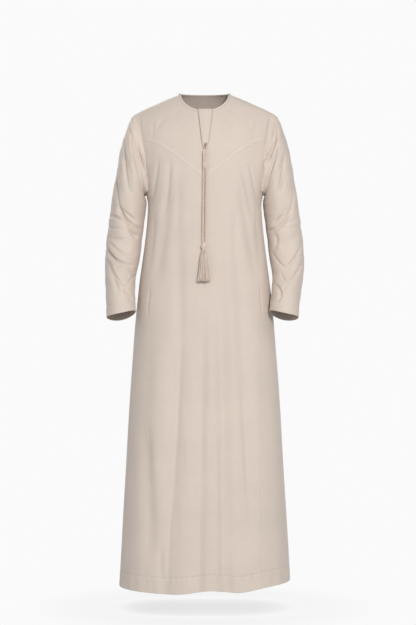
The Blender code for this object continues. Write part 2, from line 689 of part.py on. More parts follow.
def make_knot(trim):
    height = KNOT_TOP_Z - KNOT_FOOT_Z
    profile = (
        (KNOT_TOP_Z, 0.0070, 0.0052),
        (KNOT_TOP_Z - 0.22 * height, 0.0090, 0.0078),
        (KNOT_TOP_Z - 0.42 * height, 0.0095, 0.0085),
        (KNOT_TOP_Z - 0.64 * height, 0.0082, 0.0076),
        (KNOT_TOP_Z - 0.82 * height, 0.0056, 0.0052),
        (KNOT_FOOT_Z, 0.0060, 0.0056),
    )
    loft("tassel_knot", tassel_rings(profile, 16), trim)


def skirt_half(share):
    """Half width and half depth of the tassel's skirt, from 0 at its neck to 1 at its cut ends."""
    knots = np.array((0.0, 0.12, 0.30, 0.60, 0.85, 1.0))
    half_x = smooth(share, knots, np.array((0.0072, 0.0110, 0.0148, 0.0180, 0.0200, SKIRT_HALF_X)))
    half_y = smooth(share, knots, np.array((0.0066, 0.0082, 0.0092, 0.0100, 0.0104, SKIRT_HALF_Y)))
    return half_x, half_y


def make_skirt(trim):
    """Strands in hexagonal rings, fused at their roots into a small dome under the knot."""
    length = SKIRT_TOP_Z - SKIRT_FOOT_Z
    dome = (
        (SKIRT_TOP_Z, 0.0058, 0.0054),
        (SKIRT_TOP_Z - 0.0030, 0.0080, 0.0074),
        (SKIRT_TOP_Z - 0.0075, 0.0096, 0.0082),
    )
    deepest = SKIRT_HALF_Y
    turn = np.linspace(0, 2 * np.pi, 16, endpoint=False)

    def ring(z, half_x, half_y, x_mid=0.0, y_mid=0.0, angles=turn):
        x, back = tassel_line(z)
        ring_x, ring_y = x + x_mid + half_x * np.cos(angles), back - deepest + y_mid + half_y * np.sin(angles)
        return np.stack([ring_x, ring_y, np.full(len(angles), z)], axis=-1)

    head = loft("tassel_skirt", [ring(*row) for row in dome], trim)
    places = [(0.0, 0.0)]
    rings = 4
    for k in range(1, rings + 1):
        count = 6 * k
        places += [(k / rings, 2 * np.pi * (i + 0.5 * (k % 2)) / count) for i in range(count)]
    spacing = 1 / (rings + 0.5)
    square = np.radians((45, 135, 225, 315))
    points, faces = [], []
    levels = (0.055, 0.30, 0.65, 1.0)
    for reach, angle in places:
        start = len(points)
        for share in levels:
            half_x, half_y = skirt_half(share)
            x_mid = half_x * (1 - 0.5 * spacing) * reach * math.cos(angle)
            y_mid = half_y * (1 - 0.5 * spacing) * reach * math.sin(angle)
            size = 0.40 * spacing
            z = SKIRT_TOP_Z - share * length
            points += list(ring(z, half_x * size, half_y * size * 1.1, x_mid, y_mid, square))
        rows = len(levels)
        for i in range(rows - 1):
            for j in range(4):
                k = (j + 1) % 4
                low, high = start + 4 * i, start + 4 * (i + 1)
                faces.append([low + j, high + j, high + k, low + k])
        faces.append([start + j for j in range(4)])
        faces.append([start + 4 * (rows - 1) + j for j in (3, 2, 1, 0)])
    strands = add_object("skirt_strands", points, faces, trim)
    strands.hide_render = True
    strands.display_type = "WIRE"
    fuse = head.modifiers.new("strands", "BOOLEAN")
    fuse.operation = "UNION"
    fuse.object = strands


def main():
    for old in list(bpy.data.objects):
        bpy.data.objects.remove(old)
    cloth = material("robe_cloth", CLOTH_COLOUR, 0.75)
    trim = material("tassel_cord", CORD_COLOUR, 0.6)
    make_panels(cloth)
    make_sleeves(cloth)
    make_binding(cloth)
    make_chest_bands(cloth)
    make_flap(cloth)
    make_tails(trim)
    make_whipping(trim)
    make_tassel_cords(trim)
    make_knot(trim)
    make_skirt(trim)


main()
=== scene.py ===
# Collarless thobe robe in its worn form, with a long tassel at the neck.
# Metres, +Z up. The front faces -Y, and the origin lies between the two side neck points.

import bmesh
import bpy
import numpy as np
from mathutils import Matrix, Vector


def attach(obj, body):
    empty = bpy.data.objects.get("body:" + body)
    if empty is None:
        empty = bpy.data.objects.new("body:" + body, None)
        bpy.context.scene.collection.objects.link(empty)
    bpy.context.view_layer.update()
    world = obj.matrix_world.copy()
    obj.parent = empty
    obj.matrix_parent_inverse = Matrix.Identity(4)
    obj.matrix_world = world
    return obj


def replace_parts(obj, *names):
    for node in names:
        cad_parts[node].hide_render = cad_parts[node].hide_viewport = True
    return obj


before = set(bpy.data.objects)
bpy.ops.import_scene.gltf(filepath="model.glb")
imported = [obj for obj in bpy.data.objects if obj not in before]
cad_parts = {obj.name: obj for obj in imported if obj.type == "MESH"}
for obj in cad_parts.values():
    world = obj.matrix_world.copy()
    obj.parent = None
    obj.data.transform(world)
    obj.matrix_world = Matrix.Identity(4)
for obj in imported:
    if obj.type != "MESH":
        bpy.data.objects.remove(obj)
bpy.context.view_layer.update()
print("frame loaded with", len(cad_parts), "nodes")

view = {
    "place": (0.0099, -5.2, -0.6555),  # level with the middle of the picture
    "lens": 99.84,
    "sensor": 36.0,
    "floorZ": -1.54,
    "floorHalf": 30.0,
    "air": (0.985, 0.985, 0.985),
    "airLight": 0.46,
    "airShown": 0.970,
    "floorShade": 0.62,
    "shadowReach": 0.32,
}


def rows(columns, *lines):
    # named columns from rows of numbers
    return dict(zip(columns.split(), np.array(lines, float).T))


def smooth(x, xs, ys):
    # cubic curve through (xs, ys); the slope at each point comes from its two neighbours
    order = np.argsort(xs)
    xs, ys = np.asarray(xs)[order], np.asarray(ys)[order]
    slopes = np.gradient(ys, xs)
    x = np.clip(x, xs[0], xs[-1])
    i = np.clip(np.searchsorted(xs, x) - 1, 0, len(xs) - 2)
    h = xs[i + 1] - xs[i]
    t = (x - xs[i]) / h
    start = (1 + 2 * t) * (1 - t) ** 2 * ys[i] + t * (1 - t) ** 2 * h * slopes[i]
    end = t * t * (3 - 2 * t) * ys[i + 1] + t * t * (t - 1) * h * slopes[i + 1]
    return start + end


def read(table, name, at, key="z"):
    # a column of a table as a curve over its key column
    return smooth(at, table[key], table[name])


def ease(t):
    # 0 to 1 with no corner at either end: t * t * (3 - 2t)
    t = np.clip(t, 0.0, 1.0)
    return t * t * (3 - 2 * t)


def unit(vectors):
    # each vector over its own length
    return vectors / np.maximum(np.linalg.norm(vectors, axis=-1, keepdims=True), 1e-12)


def bell(away, width):
    # exp(-(away / width) squared)
    return np.exp(-((away / width) ** 2))


# The robe's own shape, as it is cut and worn

robe = {
    "cloth": 0.0012,
    "seamGap": 0.0003,
    "panelHalf": 0.165,
    "armholeCornerZ": -0.295,
    "armholeLowZ": -0.305,
    "tipX": 0.195,
    "neckHalf": 0.0765,
    "neckFrontDrop": 0.0615,
    "neckBackRise": 0.001,
    "neckColumn": 0.5,
    "shoulderRound": 0.30,
    "ridgeY": 0.008,
    "ringPower": 2.4,
    "topRingHalf": 0.220,
    "topRingZ": -0.100,
    "hemZ": -1.465,
    "edgeRound": 0.0009,  # width over which a cut or folded edge rounds off
    "seamDip": 0.00012,  # how far a sewn edge is drawn in
    "seamWidth": 0.0018,
    "seamShow": 0.00002,  # what is left open of a seam
    "openFootZ": -1.45,  # a fold that ends lower stays open at the hem
    "heldWidth": 0.02,  # the armhole seams hold the cloth flat this far in,
    "heldZ": -0.30,  # down to here,
    "heldFade": 0.03,
    "heldLowZ": -0.34,
    "heldShoulder": 0.12,  # and the shoulder seams over this share of the rounding
    "swellWidth": 0.098,
    "swellHeight": 0.0009,
    "rippleWidth": 0.043,
    "rippleHeight": 0.0003,
}

# Body sections from the hem up
bodyRings = rows(
    "z       half   front  back",
    (-1.480, 0.2570, 0.173, 0.170),
    (-1.270, 0.2455, 0.165, 0.161),
    (-1.090, 0.2348, 0.158, 0.153),
    (-0.915, 0.2245, 0.151, 0.145),
    (-0.785, 0.2155, 0.146, 0.140),
    (-0.705, 0.2095, 0.142, 0.137),
    (-0.625, 0.2019, 0.139, 0.134),
    (-0.555, 0.1940, 0.137, 0.131),
    (-0.507, 0.1875, 0.137, 0.129),
    (-0.459, 0.1810, 0.137, 0.127),
    (-0.411, 0.1755, 0.137, 0.126),
    (-0.363, 0.1715, 0.137, 0.127),
    (-0.325, 0.1710, 0.137, 0.129),
    (-0.295, 0.1780, 0.136, 0.131),
    (-0.250, 0.1910, 0.135, 0.132),
    (-0.200, 0.2050, 0.134, 0.131),
    (-0.150, 0.2150, 0.134, 0.127),
    (-0.100, 0.2200, 0.134, 0.122),
    (0.040, 0.2200, 0.134, 0.118),
)

# Height of the shoulder line over the distance from the middle
shoulderLine = rows(
    "x      z",
    (0.0000, 0.0240),
    (0.0350, 0.0165),
    (0.0715, 0.0000),
    (0.1050, -0.0129),
    (0.1430, -0.0297),
    (0.1860, -0.0489),
    (0.1950, -0.0535),
    (0.2200, -0.0720),
)

# Front and back edge of the armhole, as a distance from the middle
armholeLine = rows(
    "z       x",
    (-0.2950, 0.1650),
    (-0.2700, 0.1645),
    (-0.2430, 0.1655),
    (-0.1800, 0.1730),
    (-0.1200, 0.1840),
    (-0.0840, 0.1910),
    (-0.0535, 0.1950),
)

# Height of the hem edge over the side-to-side place
hemLine = rows(
    "x       front    back",
    (-0.2570, -1.4720, -1.4720),
    (-0.1800, -1.4740, -1.4690),
    (-0.0780, -1.4765, -1.4700),
    (-0.0200, -1.4700, -1.4660),
    (0.0160, -1.4650, -1.4670),
    (0.0550, -1.4690, -1.4700),
    (0.0980, -1.4720, -1.4660),
    (0.1800, -1.4610, -1.4600),
    (0.2570, -1.4540, -1.4540),
)

# Main folds of the body, seen from the front; side is -1 in front, 1 behind, a negative depth is a ridge
bodyFolds = rows(
    "side  topX    topZ    footX   footZ   width  depth",
    (-1, -0.097, -0.245, -0.148, -0.600, 0.016, 0.0052),
    (-1, -0.078, -0.380, -0.072, -0.750, 0.016, 0.0035),
    (-1, -0.067, -0.600, -0.112, -1.480, 0.024, 0.0070),
    (-1, -0.004, -0.620, -0.020, -1.480, 0.016, 0.0060),
    (-1, 0.046, -0.460, 0.064, -1.480, 0.021, 0.0100),
    (-1, 0.094, -0.400, 0.146, -1.350, 0.019, 0.0060),
    (-1, 0.098, -0.245, 0.164, -0.600, 0.015, 0.0052),
    (-1, -0.172, -0.950, -0.158, -1.440, 0.020, 0.0060),
    (-1, -0.140, -0.700, -0.150, -1.250, 0.024, -0.0035),
    (-1, 0.024, -0.700, 0.024, -1.480, 0.022, -0.0035),
    (1, -0.120, -0.200, -0.150, -0.650, 0.015, 0.0090),
    (1, 0.115, -0.220, 0.150, -0.700, 0.015, 0.0090),
    (1, -0.060, -0.450, -0.090, -1.480, 0.020, 0.0120),
    (1, 0.010, -0.560, -0.006, -1.480, 0.019, 0.0100),
    (1, 0.065, -0.480, 0.088, -1.480, 0.021, 0.0120),
    (1, 0.150, -0.800, 0.168, -1.400, 0.018, 0.0070),
    (1, -0.160, -0.850, -0.172, -1.440, 0.018, 0.0080),
)

# Finer creases of the body, each a bent line through three places.
# lean raises a ridge on the left of its run
bodyCreases = rows(
    "side  topX    topZ    midX    midZ    footX   footZ   width  depth   lean",
    (-1, -0.134, -0.200, -0.146, -0.276, -0.161, -0.336, 0.0070, 0.0040, 0.5),
    (-1, -0.101, -0.205, -0.107, -0.280, -0.125, -0.380, 0.0090, 0.0042, 0.5),
    (-1, -0.076, -0.260, -0.078, -0.340, -0.078, -0.430, 0.0120, 0.0020, 0.0),
    (-1, 0.104, -0.222, 0.124, -0.294, 0.143, -0.389, 0.0080, 0.0038, -0.5),
    (-1, 0.130, -0.214, 0.143, -0.269, 0.158, -0.332, 0.0060, 0.0034, -0.5),
    (-1, 0.096, -0.345, 0.091, -0.432, 0.109, -0.603, 0.0130, 0.0030, 0.0),
    (-1, 0.022, -0.256, 0.021, -0.284, 0.023, -0.312, 0.0050, 0.0013, 0.3),
    (-1, 0.046, -0.212, 0.045, -0.242, 0.043, -0.276, 0.0050, 0.0014, 0.3),
    (-1, -0.114, -0.070, -0.130, -0.095, -0.146, -0.120, 0.0090, 0.0022, 0.4),
    (-1, -0.150, -0.082, -0.153, -0.110, -0.151, -0.140, 0.0065, 0.0022, 0.4),
    (-1, 0.158, -0.088, 0.149, -0.113, 0.142, -0.140, 0.0085, 0.0022, -0.4),
    (-1, 0.120, -0.080, 0.130, -0.100, 0.136, -0.124, 0.0080, 0.0016, -0.4),
    (-1, -0.052, -0.082, -0.062, -0.096, -0.070, -0.114, 0.0055, 0.0011, 0.0),
    (-1, -0.070, -0.056, -0.084, -0.066, -0.096, -0.078, 0.0055, 0.0011, 0.0),
    (-1, 0.054, -0.078, 0.066, -0.090, 0.076, -0.106, 0.0055, 0.0011, 0.0),
    (-1, 0.072, -0.050, 0.086, -0.060, 0.099, -0.074, 0.0055, 0.0011, 0.0),
    (-1, -0.146, -0.360, -0.153, -0.440, -0.164, -0.530, 0.0085, 0.0028, 0.4),
    (-1, 0.150, -0.350, 0.156, -0.430, 0.167, -0.540, 0.0085, 0.0026, -0.4),
    (-1, -0.070, -0.700, -0.084, -0.980, -0.101, -1.280, 0.0080, 0.0018, -0.9),
    (-1, -0.101, -1.180, -0.108, -1.320, -0.113, -1.455, 0.0070, 0.0022, -0.9),
    (-1, -0.128, -1.330, -0.130, -1.390, -0.128, -1.440, 0.0100, 0.0032, 0.3),
    (-1, 0.050, -1.050, 0.054, -1.240, 0.056, -1.440, 0.0090, 0.0026, 0.8),
    (-1, 0.112, -0.850, 0.124, -1.080, 0.138, -1.290, 0.0080, 0.0022, 0.6),
    (-1, -0.158, -0.585, -0.166, -0.626, -0.166, -0.672, 0.0032, 0.0024, 0.4),
    (-1, 0.160, -0.580, 0.1665, -0.626, 0.1665, -0.672, 0.0032, 0.0024, -0.4),
    (-1, 0.024, -0.900, 0.020, -1.080, 0.022, -1.260, 0.0140, 0.0018, 0.0),
    (1, -0.080, -0.120, -0.092, -0.240, -0.120, -0.360, 0.0090, 0.0040, 0.5),
    (1, 0.080, -0.120, 0.092, -0.240, 0.118, -0.360, 0.0090, 0.0040, -0.5),
    (1, -0.146, -0.190, -0.146, -0.260, -0.158, -0.330, 0.0070, 0.0036, 0.4),
    (1, 0.146, -0.190, 0.146, -0.260, 0.158, -0.330, 0.0070, 0.0036, -0.4),
    (1, -0.030, -0.350, -0.040, -0.600, -0.042, -0.850, 0.0120, 0.0026, 0.4),
    (1, 0.036, -0.380, 0.040, -0.640, 0.030, -0.900, 0.0120, 0.0026, -0.4),
    (1, -0.110, -0.700, -0.124, -0.900, -0.130, -1.150, 0.0120, 0.0028, 0.4),
    (1, 0.116, -0.760, 0.124, -0.960, 0.136, -1.200, 0.0120, 0.0028, -0.4),
    (1, 0.000, -0.950, 0.012, -1.180, 0.036, -1.420, 0.0110, 0.0026, 0.0),
)


def halfWidth(z):
    return read(bodyRings, "half", np.minimum(z, robe["topRingZ"]))


def shoulderHeight(x):
    return read(shoulderLine, "z", np.abs(x), "x")


def armholeX(z):
    return read(armholeLine, "x", z)


def foldDepth(folds, x, z, side):
    # each fold is a bell across its straight line, eased in at its ends; one that reaches the hem stays open
    total = np.zeros(np.broadcast(x, z, side).shape)
    for k in range(len(folds["side"])):
        runX = folds["footX"][k] - folds["topX"][k]
        runZ = folds["footZ"][k] - folds["topZ"][k]
        t = ((x - folds["topX"][k]) * runX + (z - folds["topZ"][k]) * runZ) / (runX**2 + runZ**2)
        near = np.clip(t, 0.0, 1.0)
        away = np.hypot(x - folds["topX"][k] - near * runX, z - folds["topZ"][k] - near * runZ)
        openFoot = folds["footZ"][k] < robe["openFootZ"]
        fade = ease(near / 0.3) * (1.0 if openFoot else ease((1 - near) / 0.3))
        facing = np.clip(side * folds["side"][k], 0.0, 1.0)
        total = total + folds["depth"][k] * bell(away, folds["width"][k]) * fade * facing
    return total


crease = {
    "steps": 8,  # straight runs in the curve of a crease
    "reach": 3,  # widths away from it at which it ends
    "fall": 1.6,
    "rim": 2.4,
    "taper": 0.7,
}


def creaseDepth(creases, x, z, frontShare, arm=0):
    # each crease follows a parabola through its three places. Across it, with u = distance / width, the
    # depth is exp(-u ** fall) * (1 - u * u / rim), with a ridge beside it of lean * u * exp(-u * u).
    # Along it, with t from 0 to 1, all that is multiplied by sin(pi * t) ** taper
    steps = crease["steps"]
    total = np.zeros(np.broadcast(x, z, frontShare).shape)
    x, z, frontShare = (np.broadcast_to(value, total.shape) for value in (x, z, frontShare))
    share = np.linspace(0, 1, steps + 1)
    for k in range(len(creases["side"])):
        if "arm" in creases and creases["arm"][k] * arm < 0:
            continue
        top, mid, foot = ({axis: creases[end + axis][k] for axis in "XZ"} for end in ("top", "mid", "foot"))
        middle = {axis: 2 * mid[axis] - (top[axis] + foot[axis]) / 2 for axis in "XZ"}
        line = {axis: (1 - share) ** 2 * top[axis] + 2 * share * (1 - share) * middle[axis]
                + share**2 * foot[axis] for axis in "XZ"}
        width = creases["width"][k]
        reach = crease["reach"] * width
        weight = {-1: frontShare, 0: np.ones_like(frontShare), 1: 1 - frontShare}[int(creases["side"][k])]
        near = (x > line["X"].min() - reach) & (x < line["X"].max() + reach) & (weight > 0)
        near &= (z > line["Z"].min() - reach) & (z < line["Z"].max() + reach)
        px, pz = x[near], z[near]
        best, at, hand = np.full(px.shape, 1e9), np.zeros(px.shape), np.ones(px.shape)
        for i in range(steps):
            dx, dz = line["X"][i + 1] - line["X"][i], line["Z"][i + 1] - line["Z"][i]
            t = np.clip(((px - line["X"][i]) * dx + (pz - line["Z"][i]) * dz) / (dx * dx + dz * dz), 0, 1)
            offX, offZ = px - line["X"][i] - t * dx, pz - line["Z"][i] - t * dz
            away = np.hypot(offX, offZ)
            closer = away < best
            at = np.where(closer, (i + t) / steps, at)
            hand = np.where(closer, np.sign(dx * offZ - dz * offX), hand)
            best = np.minimum(away, best)
        u = best / width
        shape = np.exp(-(u ** crease["fall"])) * (1 - u * u / crease["rim"])
        shape = shape - creases["lean"][k] * hand * u * np.exp(-u * u)
        total[near] += creases["depth"][k] * shape * np.sin(np.pi * at) ** crease["taper"] * weight[near]
    return total


def ripple(x, z, side):
    # slow, uneven swells about a hand wide, and small ones a finger wide, all under 1.5 mm high
    swell = np.sin(2 * np.pi * x / robe["swellWidth"] + 1.9 * np.sin(2.7 * z + side) + 0.8 * side)
    drift = 2.6 * np.sin(4.4 * z + 1.7 * side) + 3.0 * np.sin(21 * x)
    small = np.sin(2 * np.pi * x / robe["rippleWidth"] + drift)
    large = robe["swellHeight"] * swell * np.sin(5.1 * z + 7 * x + 1)
    return large + robe["rippleHeight"] * small * np.sin(9.3 * z + 11 * x + 2)


def bodyPoint(turn, z):
    # turn runs round the section in degrees, 0 at the middle front, 90 at +X.
    # x is half width * sin, y is depth * superellipse * shoulder rounding, and folds push both inwards
    turn = np.radians(turn)
    sine, cosine = np.sin(turn), np.cos(turn)
    front = cosine >= 0
    x = halfWidth(z) * sine
    across = np.clip(1 - np.abs(sine) ** robe["ringPower"], 0, 1) ** (1 / robe["ringPower"])
    fall = np.clip((shoulderHeight(x) - z) / robe["shoulderRound"], 0, 1)
    crown = np.sqrt(1 - (1 - fall) ** 2)
    depth = np.where(front, read(bodyRings, "front", z), read(bodyRings, "back", z))
    y = robe["ridgeY"] + np.where(front, -1, 1) * depth * across * crown
    side = -np.sign(cosine) * np.minimum(1, 3 * np.abs(cosine))
    # the armhole and shoulder seams hold the cloth flat beside them
    inside = ease((armholeX(z) - np.abs(x)) / robe["heldWidth"])
    heldSide = np.maximum(inside, ease((robe["heldZ"] - z) / robe["heldFade"]))
    held = np.where(z > robe["heldLowZ"], heldSide, 1) * ease(fall / robe["heldShoulder"])
    fine = creaseDepth(bodyCreases, x, z, ease(0.5 + 2 * cosine)) + ripple(x, z, side)
    trough = foldDepth(bodyFolds, x, z, side) + held * fine
    return np.stack([x - trough * sine, y + trough * cosine, z + 0 * x], axis=-1)


def frontPoint(x, z):
    # point of the front at a place seen from the front
    return bodyPoint(np.degrees(np.arcsin(np.clip(x / halfWidth(z), -1, 1))), z)


def hemHeight(turn):
    x = bodyRings["half"][0] * np.sin(np.radians(turn))
    front = np.cos(np.radians(turn)) >= 0
    return np.where(front, read(hemLine, "front", x, "x"), read(hemLine, "back", x, "x"))


def panelEdgeTurn(level, edgeZ):
    # straight below the arms, then the armhole
    x = np.where(level < 1, robe["panelHalf"], armholeX(edgeZ))
    return np.degrees(np.arcsin(np.clip(x / halfWidth(edgeZ), 0, 1)))


halfSeam = robe["seamShow"] / 2
tipTurn = np.degrees(np.arcsin(robe["tipX"] / robe["topRingHalf"]) - halfSeam / robe["topRingHalf"])
neckShare = np.degrees(np.arcsin(robe["neckHalf"] / robe["topRingHalf"])) / tipTurn


def panelTop(turn, back):
    # the shoulder seam, and between the side neck points an elliptic neckline
    x = robe["topRingHalf"] * np.sin(np.radians(turn))
    neck = np.sqrt(np.clip(1 - (x / robe["neckHalf"]) ** 2, 0, 1))
    drop = robe["neckBackRise"] if back else -robe["neckFrontDrop"]
    neckline = neck * drop + shoulderHeight(robe["neckHalf"])
    return np.where(np.abs(x) < robe["neckHalf"] - 1e-9, neckline, shoulderHeight(x))


def topPlace(column, back):
    # columns crowd towards the side neck points: share * sqrt(1 - (1 - u * u) ** power)
    inside = np.clip(np.abs(column) / robe["neckColumn"], 0, 1)
    neck = neckShare * np.sqrt(1 - (1 - inside**2) ** (2 if back else 4))
    beyond = (np.abs(column) - robe["neckColumn"]) / (1 - robe["neckColumn"])
    return np.sign(column) * np.where(beyond < 0, neck, neckShare + (1 - neckShare) * beyond)


def panelPoint(column, level, back):
    # columns run from -1 to 1; level is 0 at the hem, 1 under the arms and 2 at the top
    rise = 1 - (2 - np.clip(level, 1, 2)) ** 2
    low = np.clip(level, 0, 1)
    cornerZ, tipZ = robe["armholeCornerZ"], shoulderHeight(robe["tipX"])
    lowZ = robe["hemZ"] + (cornerZ - robe["hemZ"]) * low
    edgeZ = np.where(level < 1, lowZ, cornerZ + (tipZ - cornerZ) * rise)
    edge = panelEdgeTurn(level, edgeZ) - np.degrees(halfSeam / halfWidth(edgeZ))
    turn = edge * (column + ease(level - 1) * (topPlace(column, back) - column))
    if back:
        turn = 180 - turn
    hem = hemHeight(turn)
    zLow = hem + (cornerZ - hem) * low
    zHigh = cornerZ + (panelTop(turn, back) - cornerZ) * rise
    points = bodyPoint(turn, np.where(level < 1, zLow, zHigh))
    points[..., 1] += ease(level - 1) * halfSeam * (1 if back else -1)
    return points


def gorePoint(g, level, sign):
    # g runs from 0 at the front seam to 1 at the back seam, level from 0 at the hem to 1 under the arm
    edgeZ = robe["hemZ"] + (robe["armholeCornerZ"] - robe["hemZ"]) * level
    seam = panelEdgeTurn(level * 0, edgeZ) + np.degrees(halfSeam / halfWidth(edgeZ))
    turn = seam + (180 - 2 * seam) * g
    top = robe["armholeCornerZ"] + (robe["armholeLowZ"] - robe["armholeCornerZ"]) * np.sin(np.pi * g)
    hem = hemHeight(sign * turn)
    return bodyPoint(sign * turn, hem + (top - hem) * level)


# Mesh helpers

def addPiece(name, points, faces, finish, uv=None):
    surface = bpy.data.meshes.new(name)
    surface.from_pydata(np.asarray(points).reshape(-1, 3).tolist(), [], faces)
    if uv is not None:
        layer = surface.uv_layers.new(name="cloth")
        layer.data.foreach_set("uv", np.asarray(uv, np.float32).ravel())
    surface.shade_smooth()
    surface.materials.append(finish)
    made = bpy.data.objects.new(name, surface)
    bpy.context.scene.collection.objects.link(made)
    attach(made, "root")
    return made


def corners(table):
    # the four corners of each cell of a grid, in turn
    return np.stack([table[:-1, :-1], table[:-1, 1:], table[1:, 1:], table[1:, :-1]], axis=2)


def lengthAlong(points, axis):
    # running length along a grid's lines
    step = np.linalg.norm(np.diff(points, axis=axis), axis=-1)
    start = np.zeros_like(np.take(step, [0], axis=axis))
    return np.concatenate([start, np.cumsum(step, axis=axis)], axis=axis)


def gridNormal(points, closed=False, flipped=False):
    # cross product of the steps along the columns and the rows
    if closed:
        across = np.roll(points, -1, axis=1) - np.roll(points, 1, axis=1)
    else:
        across = np.gradient(points, axis=1)
    return unit(np.cross(across, np.gradient(points, axis=0))) * (-1 if flipped else 1)


def clothUv(points, closed=False):
    # metres across and up the cloth, from the middle row and the middle column
    loop = np.concatenate([points, points[:, :1]], axis=1) if closed else points
    middleRow = lengthAlong(loop[len(loop) // 2][None], 1)[0]
    middleColumn = lengthAlong(loop[:, loop.shape[1] // 2][:, None], 0)[:, 0]
    return np.stack(np.broadcast_arrays(middleRow[None, :], middleColumn[:, None]), axis=-1)


def wallPiece(name, outer, inner, uv, finish, closed=False, flipped=False):
    # closed solid between two grids: both faces and the strips that join their edges
    count = outer.shape[0] * outer.shape[1]
    i, j = np.mgrid[0:outer.shape[0], 0:uv.shape[1]]
    out = i * outer.shape[1] + j % outer.shape[1]
    parts = [(out, uv), ((out + count)[:, ::-1], uv[:, ::-1])]
    parts.append((np.stack([out[0] + count, out[0]]), np.stack([uv[0], uv[0]])))
    parts.append((np.stack([out[-1], out[-1] + count]), np.stack([uv[-1], uv[-1]])))
    if not closed:
        left, right = out[:, 0], out[:, -1]
        parts.append((np.stack([left + count, left], axis=1), np.stack([uv[:, 0], uv[:, 0]], axis=1)))
        parts.append((np.stack([right, right + count], axis=1), np.stack([uv[:, -1], uv[:, -1]], axis=1)))
    turn = -1 if flipped else 1
    faces = np.concatenate([corners(table).reshape(-1, 4)[:, ::turn] for table, _ in parts])
    loops = np.concatenate([corners(place).reshape(-1, 4, 2)[:, ::turn] for _, place in parts])
    points = np.concatenate([outer.reshape(-1, 3), inner.reshape(-1, 3)])
    return addPiece(name, points, faces.tolist(), finish, loops)


def nearest(*distances):
    # the smallest of several grids of distances, place by place
    return np.minimum.reduce(distances)


def edgeAway(points, closed=False):
    # distances from a grid's first and last column and row
    up = lengthAlong(points, 0)
    away = {"foot": up, "top": up[-1:] - up}
    if not closed:
        across = lengthAlong(points, 1)
        away.update(left=across, right=across[:, -1:] - across)
    return away


def thinEdge(distance, thickness):
    # both faces close in over the last millimetre, by 0.4 * thickness * (1 - d) squared
    return 0.4 * thickness * (1 - np.clip(distance / robe["edgeRound"], 0, 1)) ** 2


stitch = {
    "size": (0.0022, 0.0006, 0.00035),  # length, width and height over the cloth
    "jitter": 0.1,  # share of the pitch by which a stitch is off its place
}


def alongLine(place, along, values):
    # points or vectors of a line at given running lengths
    return np.stack([np.interp(place, along, values[:, k]) for k in range(3)], axis=-1)


def stitchRow(name, points, normals, finish, pitch, size=stitch["size"], seed=1):
    # small lozenges along a line: each is a bead of ten points, long along the line, half sunk in the cloth
    along = lengthAlong(points[None], 1)[0]
    place = np.arange(pitch / 2, along[-1] - pitch / 3, pitch)
    random = np.random.default_rng(seed)
    place = place + random.uniform(-stitch["jitter"], stitch["jitter"], len(place)) * pitch
    spot = alongLine(place, along, points)
    up = unit(alongLine(place, along, normals))
    line = unit(alongLine(place + 1e-3, along, points) - alongLine(place - 1e-3, along, points))
    side = unit(np.cross(up, line))
    shape = np.array([(-0.5, 0, -0.2), (-0.3, -0.5, 0), (-0.3, 0, 0.8), (-0.3, 0.5, 0), (0.3, -0.5, 0),
                      (0.3, 0, 0.8), (0.3, 0.5, 0), (0.5, 0, -0.2), (-0.3, 0, -0.6), (0.3, 0, -0.6)])
    shape = shape * size
    ways = line, side, up
    cloud = spot[:, None] + sum(shape[None, :, k, None] * way[:, None] for k, way in enumerate(ways))
    quads = np.array([(1, 4, 5, 2), (2, 5, 6, 3), (3, 6, 9, 8), (8, 9, 4, 1)])
    ends = np.array([(0, 1, 2), (0, 2, 3), (0, 3, 8), (0, 8, 1),
                     (7, 5, 4), (7, 6, 5), (7, 9, 6), (7, 4, 9)])
    start = 10 * np.arange(len(spot))[:, None, None]
    faces = (start + quads).reshape(-1, 4).tolist() + (start + ends).reshape(-1, 3).tolist()
    return addPiece(name, cloud, faces, finish)


# Materials

def addNode(tree, kind, place, links=(), **values):
    node = tree.nodes.new(kind)
    node.location = place
    for key, value in values.items():
        if key in node.inputs:
            node.inputs[key].default_value = value
        else:
            setattr(node, key, value)
    for socket, source in links:
        tree.links.new(source, node.inputs[socket])
    return node


def newMaterial(name, colour, roughness, sheen=0.0):
    made = bpy.data.materials.new(name)
    made.use_nodes = True
    made.diffuse_color = (*colour, 1)
    shader = made.node_tree.nodes["Principled BSDF"]
    shader.inputs["Base Color"].default_value = (*colour, 1)
    shader.inputs["Roughness"].default_value = roughness
    shader.inputs["Sheen Weight"].default_value = sheen
    shader.inputs["Sheen Roughness"].default_value = 0.45
    shader.inputs["Specular IOR Level"].default_value = 0.35
    return made, made.node_tree, shader


def shades(colour, darker, lighter):
    return [(*[channel * share for channel in colour], 1) for share in (darker, lighter)]


def mixTones(tree, shader, noises, span, tones):
    # base colour between two tones, by the sum of two noises over a span
    tone = addNode(tree, "ShaderNodeMath", (-700, -500), list(enumerate(noises)), operation="ADD")
    spread = addNode(tree, "ShaderNodeMapRange", (-500, -500), [("Value", tone.outputs[0])])
    spread.inputs["From Min"].default_value, spread.inputs["From Max"].default_value = span
    mix = addNode(tree, "ShaderNodeMix", (-250, -300), [("Factor", spread.outputs["Result"])],
                  data_type="RGBA")
    mix.inputs[6].default_value, mix.inputs[7].default_value = tones
    tree.links.new(mix.outputs[2], shader.inputs["Base Color"])
    return mix


